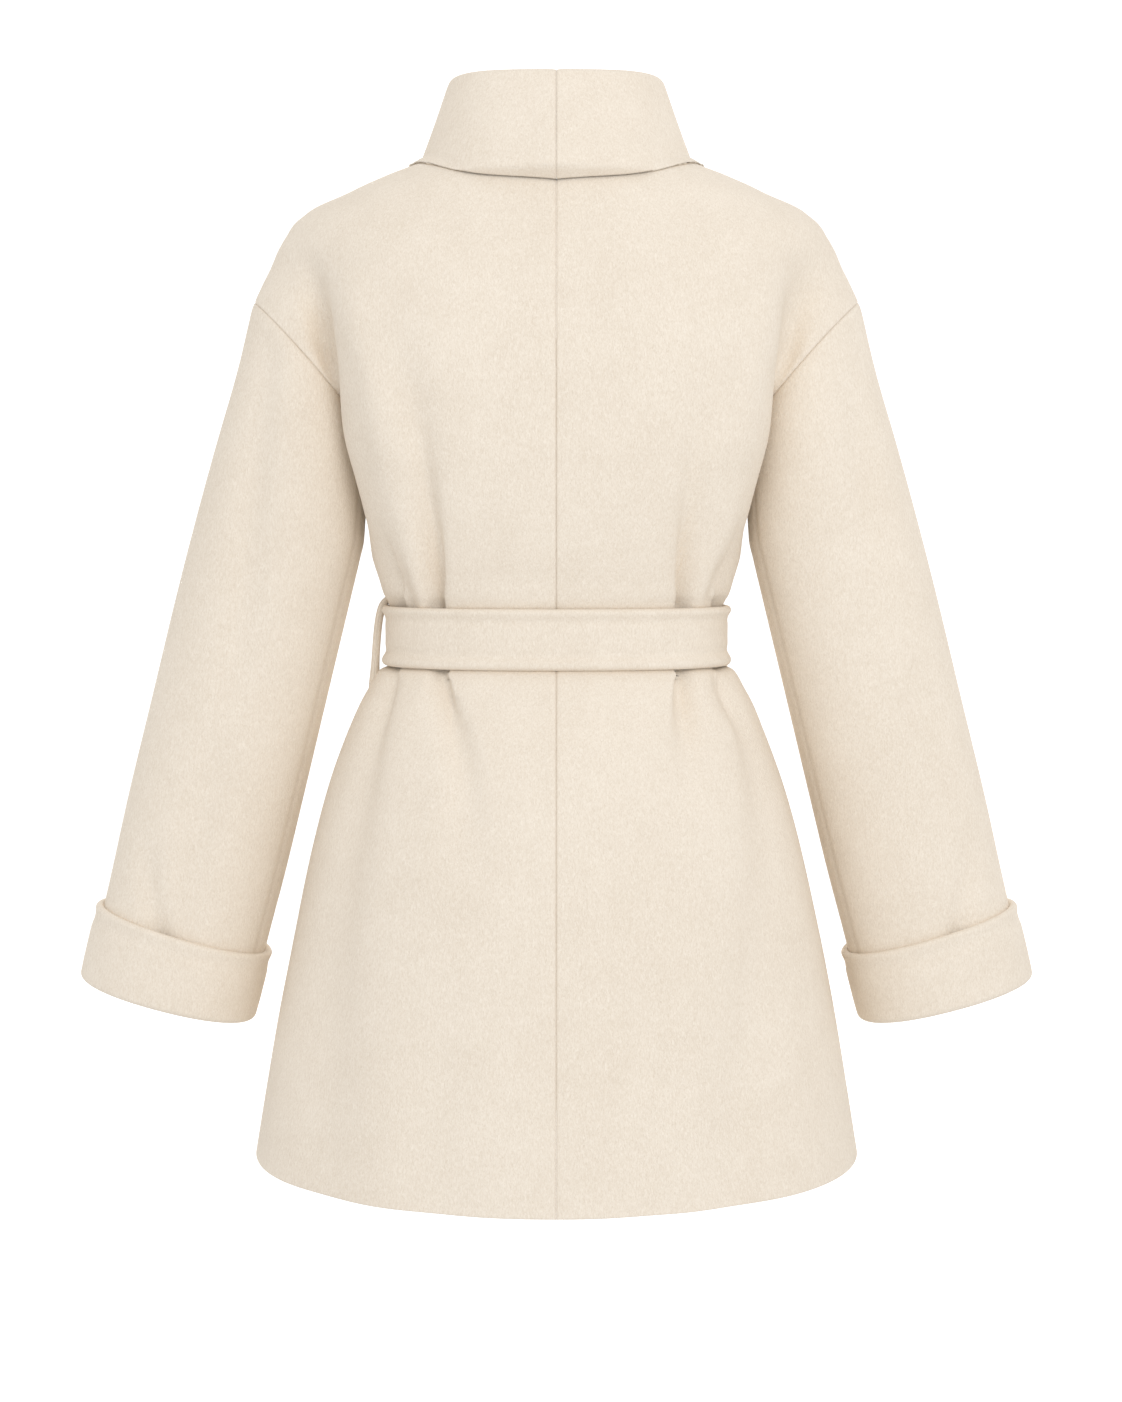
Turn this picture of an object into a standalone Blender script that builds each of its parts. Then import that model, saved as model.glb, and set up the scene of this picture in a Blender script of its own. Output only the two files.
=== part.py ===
"""A double-breasted belted coat, worn and hollow: every piece that is cut and sewn, at its real size.

The frame is +Z up, in metres, with the coat's front facing -Y and the wearer's left at +X. The origin is
the middle of the base of the neck, at the height of the shoulders' inner ends, where the wearer holds the
coat up. All sizes below are in millimetres, and MM turns them into metres when a mesh is made.

The coat's outer form is a field: gap(p) is how far a point lies outside the cloth. It joins a torso, given
by a table of level sections, to a dropped shoulder and the stub of an arm. Each panel is a net of points
laid on that field, row above row from the hem, and its wall is that net and the same net moved inwards.
The right half's pieces are worked out as left ones and mirrored.
"""

import math

import bpy
import numpy as np
from mathutils import Vector

MM = 0.001

# ---- cloth ----
WALL = 3.0  # heavy coating wool
SEAM = 0.3  # between two pieces that are sewn together
HALF_SEAM = SEAM / 2
BELT_CLOTH = 5.0  # the belt is a flat tube, so two layers
LAYER = 0.6  # between two layers that lie on each other

# ---- heights, from the base of the neck ----
HEM, HEM_DIP = -797.5, 13.2  # at the side seams, and how much lower the centre back hangs
BELT_LEVEL = -381.6
BREAK = -300.0  # where the lapel starts to roll back
ARMPIT = -212.0
NAPE = -1.0

# ---- widths ----
OVERLAP = 75.0  # each front runs this far past the centre front

# Level sections of the torso: the outer half width, how far the back and the front stand from the side
# seams' plane, how square the section is (2 is an ellipse), and how deep the arm presses the side in.
TORSO = {
    "height": [-812, -744, -676, -611, -546, -498, -466, -434, -422, -414, -409, -405.5, -398, -382,
               -366, -358, -353.5, -349, -338, -322, -306, -259, -226, -180, -145, -118, -100, -83, -65,
               -49, -35, -21, -11, -1, 9],
    "half_width": [245, 234, 222.5, 210, 196, 183.5, 173, 160, 153.5, 149, 143, 130.8, 129.6, 129.5,
                   129.8, 131, 139, 142, 145, 149, 151.5, 158, 162.5, 167.5, 173.5, 179, 185, 192, 193,
                   184, 167, 138, 112, 87, 73],
    "back": [180, 172, 164, 156, 147, 138, 128, 113, 107.5, 103, 98.5, 91.8, 90.2, 90,
             90.5, 92, 94, 96, 99, 104, 108, 116, 119, 120, 118, 114, 111, 107, 101,
             95, 90, 83, 77, 71, 64],
    "front": [172, 167, 161, 155, 147, 139, 131, 120, 116, 113, 110, 107, 106, 105.5,
              106, 107.5, 110, 112.5, 118, 126, 133, 146, 144, 136, 125, 114, 107, 99, 92,
              86, 81, 75, 70, 64, 57],
    "squareness": [2.1, 2.1, 2.1, 2.15, 2.2, 2.2, 2.25, 2.3, 2.3, 2.3, 2.3, 2.3, 2.3, 2.3,
                   2.3, 2.35, 2.35, 2.4, 2.45, 2.5, 2.6, 2.9, 3.1, 3.3, 3.3, 3.2, 3.0, 2.8, 2.6,
                   2.4, 2.3, 2.2, 2.1, 2.0, 2.0],
    "side_dent": [0, 0, 0, 0, 0, 0, 0, 0, 0, 0, 0, 0, 0, 0,
                  0, 0, 0, 0, 0, 0, 1.5, 9.5, 13, 13, 8, 0, 0, 0, 0,
                  0, 0, 0, 0, 0, 0],
}
DENT_Y, DENT_REACH = -12.0, 46.0

# The dropped shoulder and the armhole, on the left side.
ARMHOLE_TOP = np.array([236.0, -12.0, -119.5])
UNDERARM = np.array([155.5, -12.0, ARMPIT])
ARMHOLE_HALF_DEPTH = 54.0
ARMHOLE_BOW = 8.0  # how far the seam bows towards the neck
SHOULDER_BALL = np.array([176.0, -12.0, -121.0])
SHOULDER_RADII = (59.0, 52.0, 66.0)  # along the arm's width, front to back, along the arm
ARM_TILT = math.radians(14.0)
STUB_BACK = 30.0  # the arm's stub ends in a cap this far behind the armhole
STUB_CAP = 70.0
CREASE = {"height": [-212, -180, -150, -118, -95, -75, -50, -25, 0],
          "radius": [5, 6, 9, 20, 38, 50, 46, 20, 5]}

# The neck seam on the left: round the back, then down the front under the lapel to the break.
NECK_HALF_WIDTH, NECK_BACK, NECK_SIDE_Y, NECK_SIDE_Z = 96.0, 71.0, -2.0, -5.5
ROLL_SEAM = {
    "along": [0.0, 0.14, 0.28, 0.42, 0.58, 0.76, 0.89, 1.0],
    "x": [96, 94, 81, 58, 28, -11, -43, -OVERLAP],
    "z": [-5.5, -28, -58, -98, -142, -203, -252, BREAK],
}

# Rows of every panel's net: heights from the hem to the armpit, then steps up the armhole.
ROW_HEIGHTS = [HEM, -748, -680, -610, -548, -500, -466, -440, -424, -413, -405.5, -382, -357.5,
               -351, -340, -320, -300, -278, -255, -235, -221]
BREAK_ROW = ROW_HEIGHTS.index(-300)
ARMHOLE_STEPS = 10
NECK_STEPS = 7  # the rows of a back panel that start on the neck curve
BACK_COLUMNS = [0, 0.13, 0.26, 0.38, 0.46, 0.50, 0.53, 0.57, 0.63, 0.70, 0.76, 0.80, 0.86, 0.93, 1]
OVERLAP_STEPS = 6  # columns of a front across the overlap, at the same places on both fronts
SIDE_COLUMNS = [0.10, 0.20, 0.29, 0.38, 0.48, 0.60, 0.74, 0.87, 1]  # the others, as shares of the rest
SHOULDER_SHARE = 0.45  # where the last of the overlap's columns ends on the shoulder seam

# Soft pleats that the belt pinches, above it (way 1) and below it (way -1), on the back (side 1) and on the
# front (side -1). place is how far round the quarter they lie, from 0 at the centre to 1 at the side, lean is
# how that changes by the end of their reach. The cloth falls in over the inner width and comes out over the
# outer one.
PLEATS = {
    "side": [1, 1, 1, 1, -1, -1, -1, -1],
    "way": [1, 1, -1, -1, 1, 1, -1, -1],
    "place": [0.445, 0.80, 0.45, 0.80, 0.50, 0.80, 0.50, 0.80],
    "depth": [9.5, 5.5, 9.5, 6.5, 8.5, 5.5, 8.5, 6.5],
    "reach": [135, 110, 100, 130, 120, 110, 100, 130],
    "lean": [0.10, 0.02, 0.03, 0.06, 0.08, 0.02, 0.02, 0.06],
    "inner": [0.022, 0.03, 0.022, 0.03, 0.03, 0.03, 0.03, 0.03],
    "outer": [0.10, 0.16, 0.10, 0.16, 0.10, 0.16, 0.10, 0.16],
}

# How far the right front, which lies over the left one, stands out from the coat's form.
OVER_SKIRT, OVER_CHEST = 4.2, 9.4
OVER_FULL_X, OVER_NONE_X = 80.0, 128.0
OVER_HIGH, OVER_LOW = -312.0, -352.0

# The collar's fold and its outer edge, from the centre back to the break.
COLLAR = {
    "along": [0.0, 0.106, 0.176, 0.246, 0.346, 0.447, 0.547, 0.648, 0.749, 0.849, 0.95, 1.0],
    "fold_x": [0, 45, 68, 82, 81.5, 69, 47, 21, -7, -36, -64, -76],
    "fold_y": [66, 59, 43, 16, -27, -61, -88, -110, -127, -140.5, -139, -129],
    "fold_z": [53.4, 54, 54.4, 53.5, 42, 8, -44, -102, -162, -218, -271, -295],
    "edge_x": [0, 60, 90, 109.5, 115.5, 126, 131, 118.5, 87, 37, -36, -70],
    "edge_y": [101, 88, 62, 20, -44, -80, -96, -118, -133, -144, -144, -130],
    "edge_z": [-30, -26.5, -20, -11.5, -23, -47, -87, -146, -204, -251, -292, -304],
    "roll": [5.0, 5.0, 5.0, 5.0, 4.8, 4.2, 3.4, 2.8, 2.4, 2.3, 2.3, 2.3],
    "slack": [200, 200, 200, 200, 200, 45, 18, 6, 1, 0, 0, 0],
    "edge_gap": [12, 12, 9, 4.5, 2, 0, 0, 0, 0, 0, 0, 0],
    "crown": [2, 1, 0, -1, -1, 0, 1, 1, 0, 0, 0, 0],
}
FOOT = 2.5  # the collar leaves its seam this far before it turns up
COLLAR_LAYER = 1.8  # the collar lies this far off the coat
STAND_POINTS, FOLD_POINTS, FALL_POINTS = 3, 5, 6

# Rings of a sleeve, from the armhole to the cuff: its outer and inner edges as seen from the front.
SLEEVE = {
    "outer_z": [-119, -133, -151, -173, -201, -236, -282, -338, -400, -462, -524, -573, -612, -658],
    "inner_z": [ARMPIT, -226, -243, -262, -286, -315, -352, -399, -452, -506, -563, -609, -647, -693],
    "half_depth": [54, 57, 60, 62, 63, 63, 62, 61, 60, 60, 61, 62, 63, 64],
    "centre_y": [-12, -13, -14, -15, -16, -17, -18, -19, -20, -20, -20, -20, -20, -20],
}
SLEEVE_OUTER = {"z": [-660, -578, -514, -434, -354, -274, -194, -119],
                "x": [381.3, 361.4, 346.8, 326.8, 306.8, 285.2, 261.5, 236]}
SLEEVE_INNER = {"z": [-700, -618, -578, -514, -434, -354, -322, -306, -262, -232, ARMPIT],
                "x": [253.5, 231.5, 219.6, 202.6, 181.7, 161.6, 155, 153.3, 152.8, 153, 155.5]}
SLEEVE_SQUARENESS = 2.2
ARMHOLE_FADE = 4  # rings over which the armhole's own shape dies out

# The turned-back cuff.
CUFF_DEPTH, CUFF_DEPTH_INSIDE, CUFF_CLOTH = 60.5, 56.0, 3.4
CUFF_STAND_OFF = 4.2  # from the sleeve's outer face to the middle of the cuff's cloth
CUFF_INNER_LEG = 12.0

# The belt, its knot, its two ends and its loops.
BELT_HEIGHT, BELT_HEIGHT_AT_KNOT = 47.2, 31.0
BELT_LAYER = 2.1  # between the belt and the coat
BELT_ROLL, BELT_CLOTH_AT_KNOT = 1.4, 8.0  # how far its edges stand out, and how it bunches in the knot
BELT_STEPS, BELT_ACROSS = 60, 5
KNOT_HALF_WIDTH, KNOT_HALF_HEIGHT, KNOT_DEPTH, KNOT_STAND_OFF = 21.0, 21.0, 13.6, 2.5
KNOT_ANGLES = (-60.0, 76.0)
BELT_END_WIDTH, BELT_END_CLOTH = 46.0, 4.0
BELT_ENDS = {"left": {"length": 352.0, "drift": 30.0, "lift": 8.2},
             "right": {"length": 330.0, "drift": 24.0, "lift": 2.6}}
LOOP_WIDTH, LOOP_CLOTH = 9.0, 3.0
LOOP_Y = {"left": -4.0, "right": -52.0}
LOOP_PATH = {"x": [143.5, 139.6, 141.0, 144.6, 146.4, 148.0, 153.5],
             "z": [-346, -353, -363, -382, -400, -409, -418]}

# Buttons, two columns and two rows.
BUTTON_RADIUS, BUTTON_THICKNESS, BUTTON_RIM = 12.5, 4.2, 2.2
BUTTON_X, BUTTON_ROWS = 58.0, (-323.0, -455.0)
BUTTON_HOLE_RADIUS, BUTTON_HOLE_SPREAD = 1.2, 2.6

WOOL, WOOL_ROUGHNESS = (0.86, 0.79, 0.69, 1.0), 0.95
HORN, HORN_ROUGHNESS = (0.62, 0.52, 0.40, 1.0), 0.45


# ---------------------------------------------------------------- curves and tables


def curve(knots, values):
    """A smooth function through a table's rows, without overshoot, straight beyond its ends."""
    x, y = np.asarray(knots, float), np.asarray(values, float)
    if x[0] > x[-1]:
        x, y = x[::-1], y[::-1]
    step = np.diff(x)
    rise = np.diff(y) / step
    slope = np.empty_like(y)
    slope[0], slope[-1] = rise[0], rise[-1]
    left, right = rise[:-1], rise[1:]
    weight_left, weight_right = 2 * step[1:] + step[:-1], step[1:] + 2 * step[:-1]
    same_way = left * right > 0
    safe_left, safe_right = np.where(same_way, left, 1), np.where(same_way, right, 1)
    mean = (weight_left + weight_right) / (weight_left / safe_left + weight_right / safe_right)
    slope[1:-1] = np.where(same_way, mean, 0)

    def at(query):
        query = np.asarray(query, float)
        i = np.clip(np.searchsorted(x, query) - 1, 0, len(step) - 1)
        t = np.clip((query - x[i]) / step[i], 0, 1)
        inside = (
            (1 + 2 * t) * (1 - t) ** 2 * y[i]
            + t * (1 - t) ** 2 * step[i] * slope[i]
            + t * t * (3 - 2 * t) * y[i + 1]
            + t * t * (t - 1) * step[i] * slope[i + 1]
        )
        below, above = np.minimum(query - x[0], 0), np.maximum(query - x[-1], 0)
        return inside + below * slope[0] + above * slope[-1]

    return at


def ease(low, high, value):
    """0 below low, 1 above high and smooth between them."""
    t = np.clip((np.asarray(value, float) - low) / (high - low), 0, 1)
    return t * t * (3 - 2 * t)


def unit(vectors):
    """The vectors at length 1."""
    return vectors / np.maximum(np.linalg.norm(vectors, axis=-1, keepdims=True), 1e-9)


def along_path(points, shares):
    """Points at these shares of a polyline's length."""
    lengths = np.linalg.norm(np.diff(points, axis=0), axis=1)
    run = np.concatenate([[0], np.cumsum(lengths)])
    wanted = np.asarray(shares, float) * run[-1]
    return np.stack([np.interp(wanted, run, points[:, k]) for k in range(3)], axis=1)


HALF_WIDTH, BACK, FRONT, SQUARENESS, SIDE_DENT = (
    curve(TORSO["height"], TORSO[name])
    for name in ("half_width", "back", "front", "squareness", "side_dent")
)
CREASE_RADIUS = curve(CREASE["height"], CREASE["radius"])


# ---------------------------------------------------------------- the coat's form


def slope_of(field, p):
    """The field's gradient at p."""
    h = 0.05
    return np.stack([(field(p + h * e) - field(p - h * e)) / (2 * h) for e in np.eye(3)], axis=-1)


def torso_size(p):
    """How far p lies outside the torso, measured level from its axis."""
    x, y, z = np.abs(p[..., 0]), p[..., 1], p[..., 2]
    depth = np.where(y > 0, BACK(z), FRONT(z))
    dent = SIDE_DENT(z) * np.exp(-(((y - DENT_Y) / DENT_REACH) ** 4))
    n = SQUARENESS(z)
    size = ((x / (HALF_WIDTH(z) - dent)) ** n + (np.abs(y) / depth) ** n) ** (1 / n)
    return np.hypot(x, y) * (1 - 1 / np.maximum(size, 1e-6))


def torso_gap(p):
    """How far p lies outside the torso, square to its surface."""
    return torso_size(p) / np.maximum(np.linalg.norm(slope_of(torso_size, p), axis=-1), 0.5)


def shoulder_gap(p):
    """How far p lies outside the rounded shoulder and the arm's stub."""
    p = np.stack([np.abs(p[..., 0]), p[..., 1], p[..., 2]], axis=-1)
    down_arm = np.array([math.sin(ARM_TILT), 0, -math.cos(ARM_TILT)])
    over_arm = np.array([math.cos(ARM_TILT), 0, math.sin(ARM_TILT)])
    q = p - SHOULDER_BALL
    ball = np.sqrt(
        (q @ over_arm / SHOULDER_RADII[0]) ** 2
        + (q[..., 1] / SHOULDER_RADII[1]) ** 2
        + (q @ down_arm / SHOULDER_RADII[2]) ** 2
    )
    ball_gap = (ball - 1) * SHOULDER_RADII[1]
    middle = (ARMHOLE_TOP + UNDERARM) / 2
    across = unit(ARMHOLE_TOP - UNDERARM)
    outward = np.array([across[2], 0, -across[0]])
    half_length = np.linalg.norm(ARMHOLE_TOP - UNDERARM) / 2
    q = p - middle
    behind = np.minimum(q @ outward + STUB_BACK, 0)
    stub = np.sqrt((q @ across / half_length) ** 2 + (q[..., 1] / ARMHOLE_HALF_DEPTH) ** 2
                   + (behind / STUB_CAP) ** 2)
    stub_gap = (stub - 1) * ARMHOLE_HALF_DEPTH
    return smooth_low(ball_gap, stub_gap, 20.0)


def smooth_low(a, b, radius):
    """The lower of two gaps, rounded over radius where they cross."""
    h = np.clip(0.5 + 0.5 * (b - a) / radius, 0, 1)
    return b + (a - b) * h - radius * h * (1 - h)


def gap(p):
    """How far p lies outside the coat's form, in millimetres: 0 on the outer face of the cloth."""
    radius = np.clip(CREASE_RADIUS(p[..., 2]), 5, 50)
    return smooth_low(torso_gap(p), shoulder_gap(p), radius)


def settle(field, p, climb=1.0, rounds=8):
    """p moved onto the field's zero along its gradient. climb 0 keeps the height."""
    freedom = np.array([1, 1, climb])
    for _ in range(rounds):
        g = slope_of(field, p) * freedom
        p = p - field(p)[..., None] * g / np.maximum((g * g).sum(-1, keepdims=True), 1e-6)
    return p


def over(x, z):
    """How far the right front stands out from the form, with x counted from the centre to its own side."""
    chest = ease(OVER_LOW, OVER_HIGH, z)
    return (1 - ease(OVER_FULL_X, OVER_NONE_X, x)) * (OVER_SKIRT + (OVER_CHEST - OVER_SKIRT) * chest)


def plain_field(p):
    """The outer face of every panel but the right front."""
    return gap(p)


def over_field(p):
    """The outer face of the right front, mirrored to the left side."""
    return gap(p) - over(p[..., 0], p[..., 2])


# ---------------------------------------------------------------- seams


def armhole(side):
    """The armhole seam from the underarm to its top, over the back (side 1) or the front (side -1)."""
    middle = (ARMHOLE_TOP + UNDERARM) / 2
    half = (ARMHOLE_TOP - UNDERARM) / 2
    across = unit(half)
    to_neck = np.array([-across[2], 0, across[0]])
    angle = np.linspace(math.pi, 0, 181)[:, None]
    path = (middle + np.cos(angle) * half + np.sin(angle) * np.array([0, side * ARMHOLE_HALF_DEPTH, 0])
            + ARMHOLE_BOW * np.sin(angle) ** 2 * to_neck)
    path = settle(plain_field, path, rounds=4)
    return along_path(path, np.linspace(0, 1, ARMHOLE_STEPS + 1))


def side_seam():
    """The side seam, from the hem to just under the armhole."""
    z = np.array(ROW_HEIGHTS, float)
    return np.stack([HALF_WIDTH(z) - SIDE_DENT(z), np.full_like(z, DENT_Y), z], axis=1)


def neck_curve():
    """The back neck seam, from the centre back to the shoulder."""
    angle = np.linspace(0, math.pi / 2, 61)
    share = angle / (math.pi / 2)
    path = np.stack([NECK_HALF_WIDTH * np.sin(angle),
                     NECK_SIDE_Y + (NECK_BACK - NECK_SIDE_Y) * np.cos(angle),
                     NAPE + (NECK_SIDE_Z - NAPE) * share], axis=1)
    path[1:] = settle(plain_field, path[1:], climb=0, rounds=4)
    return along_path(path, np.linspace(0, 1, NECK_STEPS + 1))


def roll_seam(field):
    """The seam under the lapel, from the shoulder down to the break."""
    share = np.linspace(0, 1, 121)
    x, z = (curve(ROLL_SEAM["along"], ROLL_SEAM[k])(share) for k in "xz")
    n = SQUARENESS(z)
    y = -FRONT(z) * np.maximum(1 - (np.abs(x) / HALF_WIDTH(z)) ** n, 0) ** (1 / n)
    path = settle(field, np.stack([x, y, z], axis=1), climb=0, rounds=6)
    path[0] = neck_curve()[-1]
    rows = len(ROW_HEIGHTS) - 1 - BREAK_ROW + ARMHOLE_STEPS + 1
    return along_path(path, np.linspace(0, 1, rows + 1))


def shoulder_seam(start):
    """The shoulder seam, over the ridge of the shoulder from the neck to the armhole's top."""
    share = np.linspace(0, 1, 81)[:, None]
    end = armhole(1)[-1]
    path = start + (end - start) * share + np.array([0, 0, 30.0]) * share * (1 - share)
    for _ in range(10):
        g = slope_of(plain_field, path) * [1, 0, 1]
        path = path - plain_field(path)[:, None] * g / (g * g).sum(-1, keepdims=True)
    path[0], path[-1] = start, end
    return path


# ---------------------------------------------------------------- panels


def lay_rows(field, inner_edge, outer_edge, lowest, highest):
    """Dense rows laid on the field, from the lowest row to the highest. Up to the armpit each row starts
    as the one below it, moved with its two ends. Above, the rows run evenly from there to the highest."""
    armpit = len(ROW_HEIGHTS)
    shares = np.linspace(0, 1, len(lowest))[:, None]
    rows = [lowest]
    for i in range(1, armpit):
        guess = (rows[-1] + (1 - shares) * (inner_edge[i] - rows[-1][0])
                 + shares * (outer_edge[i] - rows[-1][-1]))
        guess[:, 2] = (inner_edge[i] + shares * (outer_edge[i] - inner_edge[i]))[:, 2]
        guess[1:-1] = settle(field, guess[1:-1], climb=0)
        rows.append(guess)
    low, high = rows[-1], along_path(highest, shares[:, 0])
    steps = len(inner_edge) - armpit
    for i in range(1, steps + 1):
        v = i / steps
        ends = (1 - shares) * inner_edge[armpit - 1 + i] + shares * outer_edge[armpit - 1 + i]
        level = (1 - v) * low + v * high
        corners = ((1 - shares) * ((1 - v) * low[0] + v * high[0])
                   + shares * ((1 - v) * low[-1] + v * high[-1]))
        guess = ends + level - corners
        if i < steps:
            guess[1:-1] = settle(field, guess[1:-1], climb=ease(0, 0.5, v))
        rows.append(guess)
    return rows


def hem_row(field, start, depth, dip):
    """The hem, an arc from its inner end, start across from the centre, round to the side seam."""
    first = math.atan2(start / HALF_WIDTH(HEM), 1)
    angle = np.linspace(first, math.pi / 2, 161)
    z = HEM - dip * np.cos(angle)
    row = np.stack([HALF_WIDTH(HEM) * np.sin(angle), depth * np.cos(angle), z], axis=1)
    return settle(field, row, climb=0)


def pinch(p):
    """How deep the belt's pleats press the cloth in at p."""
    x, y, z = np.abs(p[..., 0]), p[..., 1], p[..., 2]
    depth = np.where(y > 0, BACK(z), FRONT(z))
    around = np.arctan2(x / HALF_WIDTH(z), np.abs(y) / depth) / (math.pi / 2)
    pressed = np.zeros_like(x)
    for i, side in enumerate(PLEATS["side"]):
        run = (z - BELT_LEVEL) * PLEATS["way"][i]
        far = np.clip(run / PLEATS["reach"][i], 0, 1)
        offset = around - PLEATS["place"][i] - PLEATS["lean"][i] * far
        width = np.where(offset < 0, PLEATS["inner"][i], PLEATS["outer"][i]) * (1 + 1.6 * far)
        fade = (1 - far) ** 2 * (1 + 2 * far) * (run > -0.5) * (y * side > 0)
        pressed = np.maximum(pressed, PLEATS["depth"][i] * fade * np.exp(-((offset / width) ** 2)))
    return pressed


def net_normals(net, field):
    """Unit normals of a net, which at its edges are the field's, so that sewn walls share them."""
    normals = unit(np.cross(np.gradient(net, axis=1), np.gradient(net, axis=0)))
    from_field = unit(slope_of(field, net))
    normals *= np.sign((normals * from_field).sum(-1, keepdims=True))
    for edge in (np.s_[0, :], np.s_[-1, :], np.s_[:, 0], np.s_[:, -1]):
        normals[edge] = from_field[edge]
    return normals


def trimmed(net):
    """The net with its outer rows and columns drawn in by half a seam."""
    net = net.copy()
    for edge, inside in ((np.s_[0, :], np.s_[1, :]), (np.s_[-1, :], np.s_[-2, :]),
                         (np.s_[:, 0], np.s_[:, 1]), (np.s_[:, -1], np.s_[:, -2])):
        net[edge] += HALF_SEAM * unit(net[inside] - net[edge])
    return net


def front_shares(rows):
    """Where a front's columns lie on each row, as shares of its length. Up to the break the first ones lie
    at even steps across the overlap, and above it they spread out towards the shoulder seam."""
    steps = np.linspace(0, 1, OVERLAP_STEPS + 1)
    shares = []
    for i, row in enumerate(rows):
        if i <= BREAK_ROW:
            run = np.concatenate([[0], np.cumsum(np.linalg.norm(np.diff(row, axis=0), axis=1))])
            x = row[:, 0]
            lying = np.interp(np.linspace(-OVERLAP, OVERLAP, OVERLAP_STEPS + 1), x, run / run[-1])
            last = lying[-1]
            at_break = lying
        else:
            up = (i - BREAK_ROW) / (len(rows) - 1 - BREAK_ROW)
            lying = at_break + (SHOULDER_SHARE * steps - at_break) * up
            last = lying[-1]
        shares.append(np.concatenate([lying, last + (1 - last) * np.array(SIDE_COLUMNS)]))
    return shares


def panel_net(panel, field):
    """A back or front panel's net, with the belt's pleats, and its normals."""
    side = 1 if panel == "back" else -1
    outer = np.concatenate([side_seam(), armhole(side)])
    heights = np.array(ROW_HEIGHTS, float)
    if panel == "back":
        steps = len(outer) - len(heights) - NECK_STEPS
        climb = np.linspace(heights[-1], NAPE, steps + 1)[1:]
        z = np.concatenate([heights, climb])
        centre = np.stack([np.zeros_like(z), BACK(z), z], axis=1)
        inner = np.concatenate([centre[:-1], neck_curve()])
        hem = hem_row(field, 0, BACK(HEM), HEM_DIP)
    else:
        z = heights[:BREAK_ROW]
        edge = np.stack([np.full_like(z, -OVERLAP), -FRONT(z), z], axis=1)
        inner = np.concatenate([settle(field, edge, climb=0), roll_seam(field)[::-1]])
        hem = hem_row(field, -OVERLAP, -FRONT(HEM), HEM_DIP / 2)
    inner[0], outer[0] = hem[0], hem[-1]
    rows = lay_rows(field, inner, outer, hem, shoulder_seam(neck_curve()[-1]))
    shares = [BACK_COLUMNS] * len(rows) if panel == "back" else front_shares(rows)
    net = np.stack([along_path(row, share) for row, share in zip(rows, shares)])
    normals = net_normals(net, field)
    net = net - pinch(net)[..., None] * normals
    return net, net_normals(net, field)


def wall_of(net, normals, thickness=WALL):
    """A panel's outer and inner faces."""
    outer = trimmed(net)
    return outer, outer - thickness * normals


# ---------------------------------------------------------------- collar


def collar_middle(field):
    """The middle of the collar's cloth: from the neck seam up the stand, over the fold and down the fall. It
    also returns the coat's normals along the seam."""
    seam = np.concatenate([neck_curve(), roll_seam(field)[1:]])
    run = np.concatenate([[0], np.cumsum(np.linalg.norm(np.diff(seam, axis=0), axis=1))])
    along = run / run[-1]
    fold, edge = (np.stack([curve(COLLAR["along"], COLLAR[f"{name}_{k}"])(along) for k in "xyz"], axis=1)
                  for name in ("fold", "edge"))
    roll, slack, edge_gap, crown = (curve(COLLAR["along"], COLLAR[name])(along)
                                    for name in ("roll", "slack", "edge_gap", "crown"))
    outward = unit(slope_of(field, seam))
    beyond = np.cross(outward, np.gradient(seam, axis=0))
    beyond = unit(beyond * np.sign(((fold - seam) * beyond).sum(-1, keepdims=True)))
    base = seam - WALL / 2 * outward + HALF_SEAM * beyond
    fold = held(field, fold, COLLAR_LAYER / 2, COLLAR_LAYER / 2 + slack)
    rise = np.linalg.norm(fold - base, axis=-1, keepdims=True)
    foot = base + np.minimum(FOOT, 0.25 * rise) * beyond
    up = unit(fold - foot)
    away = edge - foot
    away = unit(away - (away * up).sum(-1, keepdims=True) * up)
    centre = fold - roll[:, None] * up
    rows = [base, foot]
    rise = centre - roll[:, None] * away - foot
    rows += [foot + rise * share for share in np.linspace(0, 1, STAND_POINTS)[1:-1]]
    rows += [centre - roll[:, None] * (math.cos(a) * away - math.sin(a) * up)
             for a in np.linspace(0, math.pi, FOLD_POINTS)]
    top = rows[-1]
    shares = np.linspace(0, 1, FALL_POINTS)
    rows += [top + (edge - top) * share + (crown * math.sin(math.pi * share))[:, None] * away
             for share in shares[1:]]
    net = np.array(rows).transpose(1, 0, 2)
    lay = WALL / 2 + COLLAR_LAYER
    falling = np.s_[:, STAND_POINTS + FOLD_POINTS - 1:]
    allowed = lay + slack[:, None] * (1 - shares) + edge_gap[:, None] * shares
    net[falling] = held(field, net[falling], lay, allowed)
    return net, outward


def held(field, points, least, most):
    """Points moved to lie at least and at most this far outside the field."""
    for _ in range(6):
        value = field(points)
        wrong = value - np.clip(value, least, most)
        slope = slope_of(field, points)
        points = points - wrong[..., None] * slope / np.maximum((slope * slope).sum(-1, keepdims=True), 1e-6)
    return points


def collar_faces(field):
    """The collar half's two faces, drawn back by half a seam at the centre back."""
    net, outward = collar_middle(field)
    normals = unit(np.cross(np.gradient(net, axis=1), np.gradient(net, axis=0)))
    normals *= np.sign((normals[:, :1] * outward[:, None]).sum(-1, keepdims=True))
    normals[:, 0] = outward
    normals[0, :, 0] = 0
    faces = net + WALL / 2 * unit(normals), net - WALL / 2 * unit(normals)
    for face in faces:
        face[0, :, 0] = HALF_SEAM
    return faces


def thick(net, thickness):
    """The two faces of a sheet whose middle is the net."""
    normals = unit(np.cross(np.gradient(net, axis=1), np.gradient(net, axis=0)))
    return net + thickness / 2 * normals, net - thickness / 2 * normals


# ---------------------------------------------------------------- sleeves and cuffs


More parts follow.
